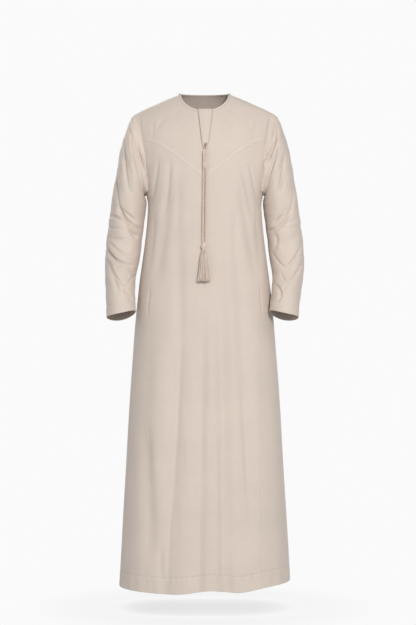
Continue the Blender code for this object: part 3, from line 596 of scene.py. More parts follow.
def clothMaterial(name, colour, yarn=0.0007, relief=0.00012):
    # plain weave from two crossed waves on the cloth's own UV, slubs along the warp, soft wide clouding
    made, tree, shader = newMaterial(name, colour, 0.72, sheen=0.25)
    uv = addNode(tree, "ShaderNodeUVMap", (-1500, 0), uv_map="cloth")
    wave = 0.31416 / yarn  # a wave texture of scale 1 repeats every pi / 10
    waves = []
    for direction, height in (("X", 200), ("Y", -100)):
        threads = addNode(tree, "ShaderNodeTexWave", (-1200, height), [("Vector", uv.outputs["UV"])],
                            bands_direction=direction, Scale=wave, Distortion=0.6)
        threads.inputs["Detail Scale"].default_value = 0.4
        waves.append(threads.outputs["Color"])
    weave = addNode(tree, "ShaderNodeMath", (-950, 60), list(enumerate(waves)), operation="ADD")
    stretch = addNode(tree, "ShaderNodeMapping", (-1200, -400), [("Vector", uv.outputs["UV"])],
                      Scale=(900, 60, 1))
    slub = addNode(tree, "ShaderNodeTexNoise", (-950, -400), [("Vector", stretch.outputs["Vector"])],
                   Scale=1.0, Detail=3.0, Roughness=0.6)
    place = addNode(tree, "ShaderNodeTexCoord", (-1500, -700))
    cloud = addNode(tree, "ShaderNodeTexNoise", (-950, -700), [("Vector", place.outputs["Object"])],
                    Scale=9.0, Detail=3.0, Roughness=0.55)
    noises = slub.outputs["Fac"], cloud.outputs["Fac"]
    mixTones(tree, shader, noises, (0.6, 1.4), shades(colour, 0.93, 1.06))
    dull = addNode(tree, "ShaderNodeMapRange", (-250, 0), [("Value", cloud.outputs["Fac"])])
    dull.inputs["To Min"].default_value, dull.inputs["To Max"].default_value = 0.62, 0.80
    tree.links.new(dull.outputs["Result"], shader.inputs["Roughness"])
    fine = addNode(tree, "ShaderNodeBump", (-450, 200), [("Height", weave.outputs[0])],
                   Strength=0.25, Distance=relief)
    broad = addNode(tree, "ShaderNodeBump", (-250, 200),
                    [("Height", slub.outputs["Fac"]), ("Normal", fine.outputs["Normal"])],
                    Strength=0.3, Distance=0.0003)
    tree.links.new(broad.outputs["Normal"], shader.inputs["Normal"])
    return made


def cordMaterial(name, colour, strand=0.0009, paintGrooveShade=False):
    # silky yarn: fine ridges along the strand and uneven dye along it; when asked, painted shade in the
    # groove colour where its crown falls to 0
    made, tree, shader = newMaterial(name, colour, 0.55, sheen=0.35)
    place = addNode(tree, "ShaderNodeTexCoord", (-1300, 0))
    stretch = addNode(tree, "ShaderNodeMapping", (-1100, 0), [("Vector", place.outputs["Object"])],
                      Scale=(1 / strand, 1 / strand, 0.25 / strand))
    yarn = addNode(tree, "ShaderNodeTexNoise", (-850, 100), [("Vector", stretch.outputs["Vector"])],
                   Scale=1.0, Detail=2.0, Roughness=0.5)
    cloud = addNode(tree, "ShaderNodeTexNoise", (-850, -250), [("Vector", place.outputs["Object"])],
                    Scale=120.0, Detail=2.0)
    noises = yarn.outputs["Fac"], cloud.outputs["Fac"]
    mix = mixTones(tree, shader, noises, (0.65, 1.35), shades(colour, 0.82, 1.12))
    # painted shade: the base colour darkens towards the groove colour down between plies, threads and
    # strands
    if paintGrooveShade:
        crown = addNode(tree, "ShaderNodeAttribute", (-220, -350), attribute_name="crown")
        paintedShade = addNode(tree, "ShaderNodeMix", (-20, -200), [("Factor", crown.outputs["Fac"])],
                       data_type="RGBA")
        paintedShade.inputs[6].default_value = (*colours["groove"], 1)
        tree.links.new(mix.outputs[2], paintedShade.inputs[7])
        tree.links.new(paintedShade.outputs[2], shader.inputs["Base Color"])
    bump = addNode(tree, "ShaderNodeBump", (-250, 250), [("Height", yarn.outputs["Fac"])],
                   Strength=0.5, Distance=0.0002)
    tree.links.new(bump.outputs["Normal"], shader.inputs["Normal"])
    return made


def floorMaterial():
    # a studio floor as white as the background, shaded only where the robe is close over it
    made, tree, shader = newMaterial("studio_floor", (0, 0, 0), 0.9)
    shader.inputs["Specular IOR Level"].default_value = 0.0
    shader.inputs["Emission Strength"].default_value = view["airShown"]
    near = addNode(tree, "ShaderNodeAmbientOcclusion", (-650, 0), samples=12, Distance=view["shadowReach"])
    shade = addNode(tree, "ShaderNodeMix", (-350, 0), [("Factor", near.outputs["AO"])], data_type="RGBA")
    shade.inputs[6].default_value, shade.inputs[7].default_value = shades(view["air"], view["floorShade"], 1)
    tree.links.new(shade.outputs[2], shader.inputs["Emission Color"])
    return made


colours = {
    "cloth": (0.620, 0.534, 0.468),
    "trim": (0.660, 0.575, 0.500),
    "thread": (0.640, 0.560, 0.490),
    # edge: dark stitches that paint the shade along the flap's folded edges and in its fork, with a darker
    # edge line
    "edge": (0.330, 0.245, 0.185),
    "band": (0.650, 0.563, 0.495),
    # groove: painted shade down between plies, threads and strands
    "groove": (0.390, 0.300, 0.236),
    "cord": (0.800, 0.680, 0.585),
}
cloth = clothMaterial("stone_cloth", colours["cloth"])
trim = clothMaterial("trim_cloth", colours["trim"], yarn=0.0005)
thread = cordMaterial("sewing_thread", colours["thread"], strand=0.0003)
# dark thread whose stitches paint shade along the flap's edges and at its fork
edgeShadeThread = cordMaterial("edge_shade_thread", colours["edge"], strand=0.0003)
bandCloth = clothMaterial("band_cloth", colours["band"], yarn=0.0012, relief=0.0003)
silk = cordMaterial("tassel_silk", colours["cord"], paintGrooveShade=True)
print("materials made")


# Camera

def makeCamera():
    made = bpy.data.objects.new("camera", bpy.data.cameras.new("camera"))
    made.data.lens, made.data.sensor_width = view["lens"], view["sensor"]
    made.data.clip_end = 200
    made.location = view["place"]
    made.rotation_euler = (np.pi / 2, 0, 0)
    bpy.context.scene.collection.objects.link(made)
    bpy.context.scene.camera = made


makeCamera()


# Tassel, cords first

tassel = {
    "bandHalf": 0.0070,
    "bandWall": 0.0010,
    "bandShown": 0.0005,
    "flapTopZ": -0.0550,
    "flapFootZ": -0.1590,
    "flapTopHalf": 0.0213,
    "flapFootHalf": 0.0090,
    "flapX": 0.0020,
    "flapWall": 0.0020,
    "flapLift": 0.0010,
    "tailRadius": 0.0026,
    "tailLift": 0.0004,
    "tailTopZ": -0.1585,
    "tailFootZ": -0.1792,
    "tailLay": 0.0080,
    "whipTopZ": -0.1795,
    "whipFootZ": -0.2346,
    "whipHalfX": 0.0073,
    "whipHalfY": 0.0060,
    "whipThread": 0.0030,
    "cordRadius": 0.0036,
    "cordStep": 0.0077,
    "cordFootZ": -0.4505,
    "cordBow": 0.0003,
    "cordLay": 0.0130,  # one full turn of the twisted plies
    "knotTopZ": -0.4508,
    "knotFootZ": -0.4738,
    "skirtTopZ": -0.4741,
    "skirtFootZ": -0.5660,
    "skirtHalfX": 0.0215,
    "skirtHalfY": 0.0105,
    "strands": 76,
    "strandRadius": 0.00125,
    "strandLay": 0.0070,
    "strandWander": (0.0013, 0.0007),
    "cutUneven": 0.0060,
    "tieZ": -0.2225,
    "tieRadius": 0.0021,
    "whipRidge": 0.0008,
    "whipSlant": 0.9,
    "partingDepth": 0.0014,  # between the whipping's two slanted columns
    "knotThread": 0.0044,
    "knotRidge": 0.0006,
    "loopRadius": 0.0027,
    "loopLay": 0.0090,
    "loopTop": 0.0026,
    "loopShort": 0.0068,
    "loopOut": (0.0022, 0.0045),  # at its ends, and what its middle adds
    "loopBack": 0.0085,
    "loopCross": 0.0022,
    "rest": 0.0006,
    "topX": 0.0020,
    "footX": -0.0030,
}


def plainFrontY(z):
    # the middle of the front with its main folds only, which is what the tassel rests on
    x = np.zeros_like(z)
    fall = np.clip((shoulderHeight(x) - z) / robe["shoulderRound"], 0, 1)
    depth = read(bodyRings, "front", z) * np.sqrt(1 - (1 - fall) ** 2)
    return robe["ridgeY"] - depth + foldDepth(bodyFolds, x, z, -np.ones_like(z))


def tasselLine(z):
    # the tassel's back follows the chest outwards, then hangs straight down
    levels = np.linspace(-0.15, -0.58, 87)
    rest = np.minimum.accumulate(plainFrontY(levels) - robe["seamGap"] - tassel["bandWall"]) - tassel["rest"]
    share = (tassel["whipTopZ"] - z) / (tassel["whipTopZ"] - tassel["skirtFootZ"])
    x = tassel["topX"] + (tassel["footX"] - tassel["topX"]) * share
    return x, np.interp(-np.asarray(z), -levels, rest)


def sweep(path, sections):
    # carries flat sections (side, depth) along a path; side lies across the path, depth towards the front
    tangent = unit(np.gradient(path, axis=0))
    side = unit(np.cross(tangent, (0.0, 1.0, 0.0)))
    depth = np.cross(side, tangent)
    return path[:, None] + sections[..., :1] * side[:, None] + sections[..., 1:] * depth[:, None]


def tubeFaces(rowCount, columns):
    # side quads and two end caps of a closed tube
    i, j = np.mgrid[0:rowCount, 0:columns + 1]
    quads = corners(i * columns + j % columns).reshape(-1, 4)[:, ::-1].tolist()
    lastRow = range((rowCount - 1) * columns, rowCount * columns)
    return quads + [list(range(columns)), list(lastRow)[::-1]]


def plyShells(path, radius, lay, plies=2, sides=12, rings=220):
    # plies wind round the path and touch: each ply's middle is at angle 2 pi (length / lay + k / plies).
    # Each shell is points, faces and crown, which is 1 on the outside and 0 down in the grooves, where the
    # silk material paints shade
    along = lengthAlong(path[None], 1)[0]
    fine = np.linspace(0, along[-1], rings)
    line = np.stack([smooth(fine, along, path[:, k]) for k in range(3)], axis=-1)
    ply = radius / (1 + 1 / np.sin(np.pi / plies))
    around = np.linspace(0, 2 * np.pi, sides, endpoint=False)
    shells = []
    for k in range(plies):
        wind = 2 * np.pi * (fine / lay + k / plies)[:, None]
        section = (radius - ply) * np.stack([np.cos(wind), np.sin(wind)], axis=-1)
        section = section + ply * 1.06 * np.stack([np.cos(around), np.sin(around)], axis=-1)[None]
        # crown: painted shade where the ply turns in towards the path
        crown = ease((np.linalg.norm(section, axis=-1) / radius - 0.40) / 0.38)
        shells.append((sweep(line, section), tubeFaces(rings, sides), crown))
    return shells


def addShells(name, shells, finish):
    # one piece from closed shells, with their crowns as an attribute that sets the painted shade
    faces, start = [], 0
    for points, shellFaces, _ in shells:
        faces += [[corner + start for corner in face] for face in shellFaces]
        start += points.size // 3
    cloud = np.concatenate([points.reshape(-1, 3) for points, _, _ in shells])
    made = addPiece(name, cloud, faces, finish)
    crown = made.data.attributes.new("crown", "FLOAT", "POINT")
    crown.data.foreach_set("value", np.concatenate([c.ravel() for _, _, c in shells]).astype(np.float32))
    return orientOut(made)


def cordPath(sign):
    z = np.linspace(tassel["whipFootZ"] - robe["seamGap"], tassel["cordFootZ"], 13)
    x, back = tasselLine(z)
    bow = tassel["cordBow"] * np.sin(np.pi * np.linspace(0, 1, len(z)))
    off = sign * (tassel["cordStep"] / 2 + bow)
    return np.stack([x + off, back - tassel["whipHalfY"] + 0 * x, z], axis=-1)


def tailPath(sign):
    # the two tails below the flap lean together and run into the whipping side by side
    share = np.linspace(0, 1, 7)
    z = tassel["tailTopZ"] + (tassel["tailFootZ"] - tassel["tailTopZ"]) * share
    x, back = tasselLine(z)
    middleX = tassel["flapX"] + (x[-1] - tassel["flapX"]) * share
    footSpread = tassel["tailRadius"] + robe["seamGap"] / 2
    topSpread = tassel["flapFootHalf"] - tassel["tailRadius"]
    spread = footSpread + (topSpread - footSpread) * (1 - ease(share * 1.15))
    return np.stack([middleX + sign * spread, back - tassel["tailRadius"] - tassel["tailLift"], z], axis=-1)


def orientOut(piece):
    # closed shells have their faces turned outwards
    shell = bmesh.new()
    shell.from_mesh(piece.data)
    bmesh.ops.recalc_face_normals(shell, faces=shell.faces)
    shell.to_mesh(piece.data)
    shell.free()
    piece.data.shade_smooth()
    return piece


def woundShell(profile, pitch, ridge, sides=56, rings=150, chevron=0.0):
    # upright part of the tassel: half width and depth follow the profile, and a thread winds round it, which
    # draws them in by ridge * (1 - |cos(pi (height / pitch + turn))|). A chevron above 0 is the slant of two
    # columns of thread with a parting between them
    z = np.linspace(profile["z"][0], profile["z"][-1], rings)
    halfX, halfY = read(profile, "halfX", z), read(profile, "halfY", z)
    x, back = tasselLine(z)
    turn = np.linspace(0, 2 * np.pi, sides, endpoint=False)
    lean = chevron * np.abs(np.cos(turn)) if chevron else turn / (2 * np.pi)
    wind = np.abs(np.cos(np.pi * (z[:, None] / pitch + lean[None])))
    fade = ease(np.minimum(z[0] - z, z - z[-1]) / 0.002)[:, None]
    middle = bell(np.cos(turn), 0.2)[None] * fade * (1 if chevron else 0)
    groove = ridge * (wind - 1) * fade
    parting = tassel["partingDepth"] * middle
    ringX = x[:, None] + (halfX[:, None] + groove) * np.cos(turn)
    ringY = (back - profile["halfY"].max())[:, None] + (halfY[:, None] + groove - parting) * np.sin(turn)
    points = np.stack([ringX, ringY, np.broadcast_to(z[:, None], ringX.shape)], axis=-1)
    # crown: painted shade in the winding's grooves and down the parting between the two columns
    crown = (1 - fade * (1 - ease((wind - 0.1) / 0.7))) * (1 - 0.85 * middle)
    return points, tubeFaces(rings, sides), crown


def beadShell(centre, radius, sides=14, rings=9):
    # a small round knot, taller than it is wide
    lean = np.linspace(0.02, np.pi - 0.02, rings)[:, None]
    turn = np.linspace(0, 2 * np.pi, sides, endpoint=False)[None]
    upright = 1.2 * np.cos(lean) + 0 * turn
    ball = np.stack([np.sin(lean) * np.cos(turn), np.sin(lean) * np.sin(turn), upright], axis=-1)
    return np.asarray(centre) + radius * ball, tubeFaces(rings, sides), np.ones((rings, sides))


def whippingProfile():
    top, foot, halfX, halfY = (tassel[key] for key in ("whipTopZ", "whipFootZ", "whipHalfX", "whipHalfY"))
    return rows(
        "z halfX halfY",
        (top, 0.0046, 0.0040),
        (top - 0.0016, halfX * 0.93, halfY * 0.93),
        (top - 0.0035, halfX, halfY),
        ((top + foot) / 2, halfX * 0.97, halfY),
        (foot + 0.0035, halfX, halfY),
        (foot + 0.0012, halfX * 0.94, halfY * 0.92),
        (foot, 0.0062, 0.0050),
    )


def knotProfile():
    # the egg in the middle of the knot
    top, height = tassel["knotTopZ"], tassel["knotTopZ"] - tassel["knotFootZ"]
    return rows(
        "z halfX halfY",
        (top, 0.0046, 0.0044),
        (top - 0.10 * height, 0.0056, 0.0064),
        (top - 0.28 * height, 0.0064, 0.0082),
        (top - 0.48 * height, 0.0063, 0.0085),
        (top - 0.68 * height, 0.0054, 0.0074),
        (top - 0.84 * height, 0.0047, 0.0056),
        (tassel["knotFootZ"], 0.0058, 0.0052),
    )


def knotLoop(sign):
    # the cord's loop at one side of the knot, from over its middle round to under it
    share = np.linspace(0, 1, 9)
    height = tassel["knotTopZ"] - tassel["knotFootZ"]
    z = tassel["knotTopZ"] - tassel["loopTop"] - (height - tassel["loopShort"]) * share
    x, back = tasselLine(z)
    endOut, middleOut = tassel["loopOut"]
    out = endOut + middleOut * np.sin(np.pi * share) ** 0.8
    cross = sign * tassel["loopCross"] * np.cos(np.pi * share)
    return np.stack([x + sign * out, back - tassel["loopBack"] - cross, z], axis=-1)


def skirtHalf(share):
    # half width and depth of the skirt, from 0 at its neck to 1 at its cut ends
    profile = rows(
        "share halfX halfY",
        (0.00, 0.0072, 0.0066),
        (0.12, 0.0098, 0.0082),
        (0.30, 0.0130, 0.0092),
        (0.60, 0.0162, 0.0100),
        (0.85, 0.0192, 0.0104),
        (1.00, tassel["skirtHalfX"], tassel["skirtHalfY"]),
    )
    return read(profile, "halfX", share, "share"), read(profile, "halfY", share, "share")


def makeSkirt(finish):
    # two-ply strands start close together under the knot and fan out: place = spiral reach * skirt half
    # sizes, with a slow wander along each strand and cut ends that differ by a few millimetres
    count, levels, sides = tassel["strands"], 44, 6
    random = np.random.default_rng(11)
    spiral = (np.arange(count) + 0.5) / count
    reach = np.sqrt(0.04 + 0.96 * spiral)[:, None]
    goldenTurn = 2.39996
    angle = (np.arange(count) * goldenTurn + random.uniform(-0.15, 0.15, count))[:, None]
    share = np.linspace(0.0, 1.0, levels)[None] * np.ones((count, 1))
    wander = random.uniform(-1, 1, (count, 2, 1))
    wander = wander * np.sin(np.pi * share * random.uniform(0.8, 2.6, (count, 1)))[:, None]
    wanderX, wanderY = (wander[:, k] * size * share for k, size in enumerate(tassel["strandWander"]))
    halfX, halfY = skirtHalf(share)
    strand = tassel["strandRadius"] * (0.5 + 0.5 * ease(share / 0.3))
    length = tassel["skirtTopZ"] - tassel["skirtFootZ"]
    z = tassel["skirtTopZ"] - share * (length - random.uniform(0.0, tassel["cutUneven"], (count, 1)))
    x, back = tasselLine(z)
    middleX = x + (halfX - strand) * reach * np.cos(angle) + wanderX
    middleY = back - tassel["skirtHalfY"] + (halfY - strand) * reach * np.sin(angle) + wanderY
    middleY = np.minimum(middleY, back - strand)
    wind = 2 * np.pi * (share * length / tassel["strandLay"] + random.uniform(0, 1, (count, 1)))
    around = np.linspace(0, 2 * np.pi, sides, endpoint=False)
    points, crown = [], []
    for hand in (-1, 1):
        offX = hand * 0.5 * np.cos(wind)[..., None] + 0.56 * np.cos(around)
        offY = hand * 0.5 * np.sin(wind)[..., None] + 0.56 * np.sin(around)
        points.append(np.stack([middleX[..., None] + strand[..., None] * offX,
                                middleY[..., None] + strand[..., None] * offY,
                                z[..., None] + 0 * offX], axis=-1))
        # crown: painted shade between the two plies of each strand, and deeper painted shade on the inner
        # strands
        crown.append(ease((np.hypot(offX, offY) - 0.25) / 0.5) * (0.8 + 0.2 * reach[..., None] ** 3))
    shells = np.stack(points, axis=1).reshape(-1, levels * sides, 3)
    crowns = np.stack(crown, axis=1).reshape(-1, levels * sides)
    faces = tubeFaces(levels, sides)
    parts = [(shell, faces, crown) for shell, crown in zip(shells, crowns)]
    return addShells("tassel_threads", parts, finish)


def makeTassel():
    knotShells = [woundShell(knotProfile(), tassel["knotThread"], tassel["knotRidge"])]
    for sign in (-1, 1):
        knotShells += plyShells(knotLoop(sign), tassel["loopRadius"], sign * tassel["loopLay"], rings=60)
    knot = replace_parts(addShells("knot", knotShells, silk), "tassel_knot")
    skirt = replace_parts(makeSkirt(silk), "tassel_skirt")
    for side, sign in (("left", -1), ("right", 1)):
        path = cordPath(sign)
        shells = plyShells(path, tassel["cordRadius"], sign * tassel["cordLay"])
        cord = addShells(f"cord_{side}", shells, silk)
        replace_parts(cord, f"tassel_cord_{side}")
    tieX, tieBack = tasselLine(tassel["tieZ"])
    tie = beadShell((tieX, tieBack - 2 * tassel["whipHalfY"], tassel["tieZ"]), tassel["tieRadius"])
    whipping = woundShell(whippingProfile(), tassel["whipThread"], tassel["whipRidge"], rings=300,
                          chevron=tassel["whipSlant"])
    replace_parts(addShells("whipping", [whipping, tie], silk), "tassel_whipping")
    for side, sign in (("left", -1), ("right", 1)):
        shells = plyShells(tailPath(sign), tassel["tailRadius"], sign * tassel["tailLay"], rings=70)
        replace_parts(addShells(f"tail_{side}", shells, silk), f"tassel_tail_{side}")


makeTassel()
print("tassel made")


# Cloth of the body

grids = {
    "frontHalfColumns": 60,
    "backHalfColumns": 50,
    "goreColumns": 52,
    "hemRows": 26,
    "bodyRows": 215,
    "topRows": 70,
    "sleeveRows": 200,
    "armholeRows": 64,
    "armholeFoot": 22,
}
hem = {
    "turnUp": 0.0460,  # height of the stitch line over the edge
    "groove": 0.0012,
    "step": 0.0008,  # the turn-up thickens the cloth inwards
    "pucker": 0.0017,
    "grooveWidth": 0.0022,
    "puckerReach": 0.009,
    "swellAt": 0.024,  # height and reach of the slower waves over the edge
    "seamStop": 0.004,  # the groove ends this far from a seam
}


def evenColumns(half):
    # columns from -1 to 1 with the side neck points among them, and three close ones at each edge
    inside = np.linspace(0, robe["neckColumn"], half // 2 + 1)
    outside = np.linspace(robe["neckColumn"], 0.988, half - half // 2)[1:]
    side = np.concatenate([inside[1:], outside, (0.994, 0.9975, 1.0)])
    return np.concatenate([-side[::-1], (0.0,), side])


lowerLevels = np.concatenate([(0, 0.0004, 0.0008), np.linspace(0.0016, 0.047, grids["hemRows"]),
                              np.linspace(0.047, 1, grids["bodyRows"])[1:]])
topShare = np.linspace(1, 0, grids["topRows"])
upperLevels = 2 - (topShare + np.sin(topShare * np.pi / 2)) / 2


def hemWork(points, across):
    # how far the stitching pushes the cloth in, a groove at the stitch line with puckers beside it, and
    # where the cloth is turned up, from 0 to 1
    up = lengthAlong(points, 0)
    wave = np.sin(across / 0.0024 + 1.7 * np.sin(across / 0.021)) * (0.5 + 0.5 * np.sin(across / 0.017 + 2))
    slow = np.sin(across / 0.0072 + 1.4 * np.sin(across / 0.05)) * (0.5 + 0.5 * np.sin(across / 0.031))
    short = 0.5 * wave * bell(up - hem["turnUp"], hem["puckerReach"])
    long = 0.6 * slow * bell(up - hem["swellAt"], hem["swellAt"])
    groove = hem["groove"] * bell(up - hem["turnUp"], hem["grooveWidth"])
    return groove + hem["pucker"] * (short + long), ease((hem["turnUp"] - up) / 0.002)


def bodyPiece(name, points, finish, flipped):
    # wall of cloth from a grid: sewn edges drawn in, cut edges rounded, the hem's turn-up thicker inside
    normal = gridNormal(points, flipped=flipped)
    away = edgeAway(points)
    across = lengthAlong(points, 1)
    groove, turned = hemWork(points, across)
    sewn = nearest(away["left"], away["right"], away["top"])
    dip = robe["seamDip"] * bell(sewn, robe["seamWidth"])
    thin = thinEdge(nearest(sewn, away["foot"]), robe["cloth"])
    groove = groove * ease(sewn / hem["seamStop"])
    outer = points - normal * (groove + dip + thin)[..., None]
    inner = points - normal * (robe["cloth"] + hem["step"] * turned + groove + dip - thin)[..., None]
    made = wallPiece(name, outer, inner, clothUv(points), finish, flipped=flipped)
    stitchAt = np.argmin(np.abs(lengthAlong(points, 0)[:, points.shape[1] // 2] - hem["turnUp"]))
    stitches = stitchRow(name + "_hem_stitches", outer[stitchAt], normal[stitchAt], thread, 0.0031)
    return made, normal


def panelGrid(back):
    levels = np.concatenate([lowerLevels, upperLevels[1:]])
    columns = evenColumns(grids["backHalfColumns" if back else "frontHalfColumns"])
    return columns, panelPoint(columns[None], levels[:, None], back)


frontColumns, frontPoints = panelGrid(False)
backColumns, backPoints = panelGrid(True)
frontPiece, frontNormal = bodyPiece("front", frontPoints, cloth, False)
backPiece, backNormal = bodyPiece("back", backPoints, cloth, True)
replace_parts(frontPiece, "front_panel")
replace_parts(backPiece, "back_panel")
for side, sign in (("left", -1), ("right", 1)):
    g = np.concatenate([(0, 0.002, 0.005), np.linspace(0.01, 0.99, grids["goreColumns"]), (0.995, 0.998, 1)])
    gore = bodyPiece(f"gore_{side}", gorePoint(g[None], lowerLevels[:, None], sign), cloth, sign < 0)[0]
    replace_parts(gore, f"side_gore_{side}")
print("body made")


# Sleeves

sleeve = {
    "cuffLean": 0.20,
    "cuffSag": 0.006,
    "rightCuffIn": 0.012,
    "armholeFade": 3.0,
    "cuffHem": 0.0330,  # stitch line over the cuff's edge
    "cuffStep": 0.0008,
    "seamFlow": 0.034,  # length over which the sleeve head carries on from the shoulder
    "followZ": -0.21,  # lowest place where it does
    "followFade": 0.07,
    "tipStep": 0.02,
    "pinch": 0.0095,  # the fold under the arm draws the cloth in beside the armhole seam,
    "pinchAt": 0.007,  # this far from it
    "pinchWidth": 0.005,
    "pinchZ": -0.235,
    "pinchReach": 0.062,
    "cuffGroove": 0.0009,
    "cuffGrooveWidth": 0.0016,
}

# Stations on the +X side: outer line, line under the arm, and depth
sleeveRings = rows(
    "outX     outZ     underX  underZ   midY    halfY",
    (0.1950, -0.0535, 0.1765, -0.3050, 0.006, 0.080),
    (0.2127, -0.0633, 0.1790, -0.3055, 0.006, 0.0815),
    (0.2250, -0.0825, 0.1798, -0.3070, 0.006, 0.0825),
    (0.2370, -0.1158, 0.1788, -0.3100, 0.006, 0.0835),
    (0.2510, -0.1590, 0.1768, -0.3150, 0.006, 0.0835),
    (0.2632, -0.2211, 0.1750, -0.3220, 0.006, 0.082),
    (0.2752, -0.2928, 0.1752, -0.3370, 0.007, 0.077),
    (0.2848, -0.3645, 0.1795, -0.3720, 0.006, 0.073),
    (0.2940, -0.4362, 0.1875, -0.4340, 0.001, 0.069),
    (0.2978, -0.4986, 0.1942, -0.4960, -0.011, 0.066),
    (0.2965, -0.5559, 0.2050, -0.5480, -0.030, 0.062),
    (0.2930, -0.6130, 0.2065, -0.6000, -0.051, 0.058),
    (0.2904, -0.6708, 0.2030, -0.6520, -0.073, 0.055),
)

sleeveFolds = rows(
    "side  topX   topZ    footX  footZ   width  depth",
    (-1, 0.212, -0.110, 0.186, -0.260, 0.012, 0.007),
    (-1, 0.240, -0.170, 0.216, -0.320, 0.013, 0.006),
    (-1, 0.262, -0.335, 0.203, -0.405, 0.014, 0.007),
    (-1, 0.290, -0.420, 0.215, -0.470, 0.014, 0.005),
    (-1, 0.270, -0.510, 0.212, -0.565, 0.014, 0.005),
    (1, 0.215, -0.110, 0.188, -0.270, 0.013, 0.008),
    (1, 0.245, -0.190, 0.215, -0.320, 0.014, 0.006),
    (1, 0.285, -0.390, 0.215, -0.430, 0.014, 0.007),
    (1, 0.288, -0.500, 0.225, -0.460, 0.014, 0.005),
)

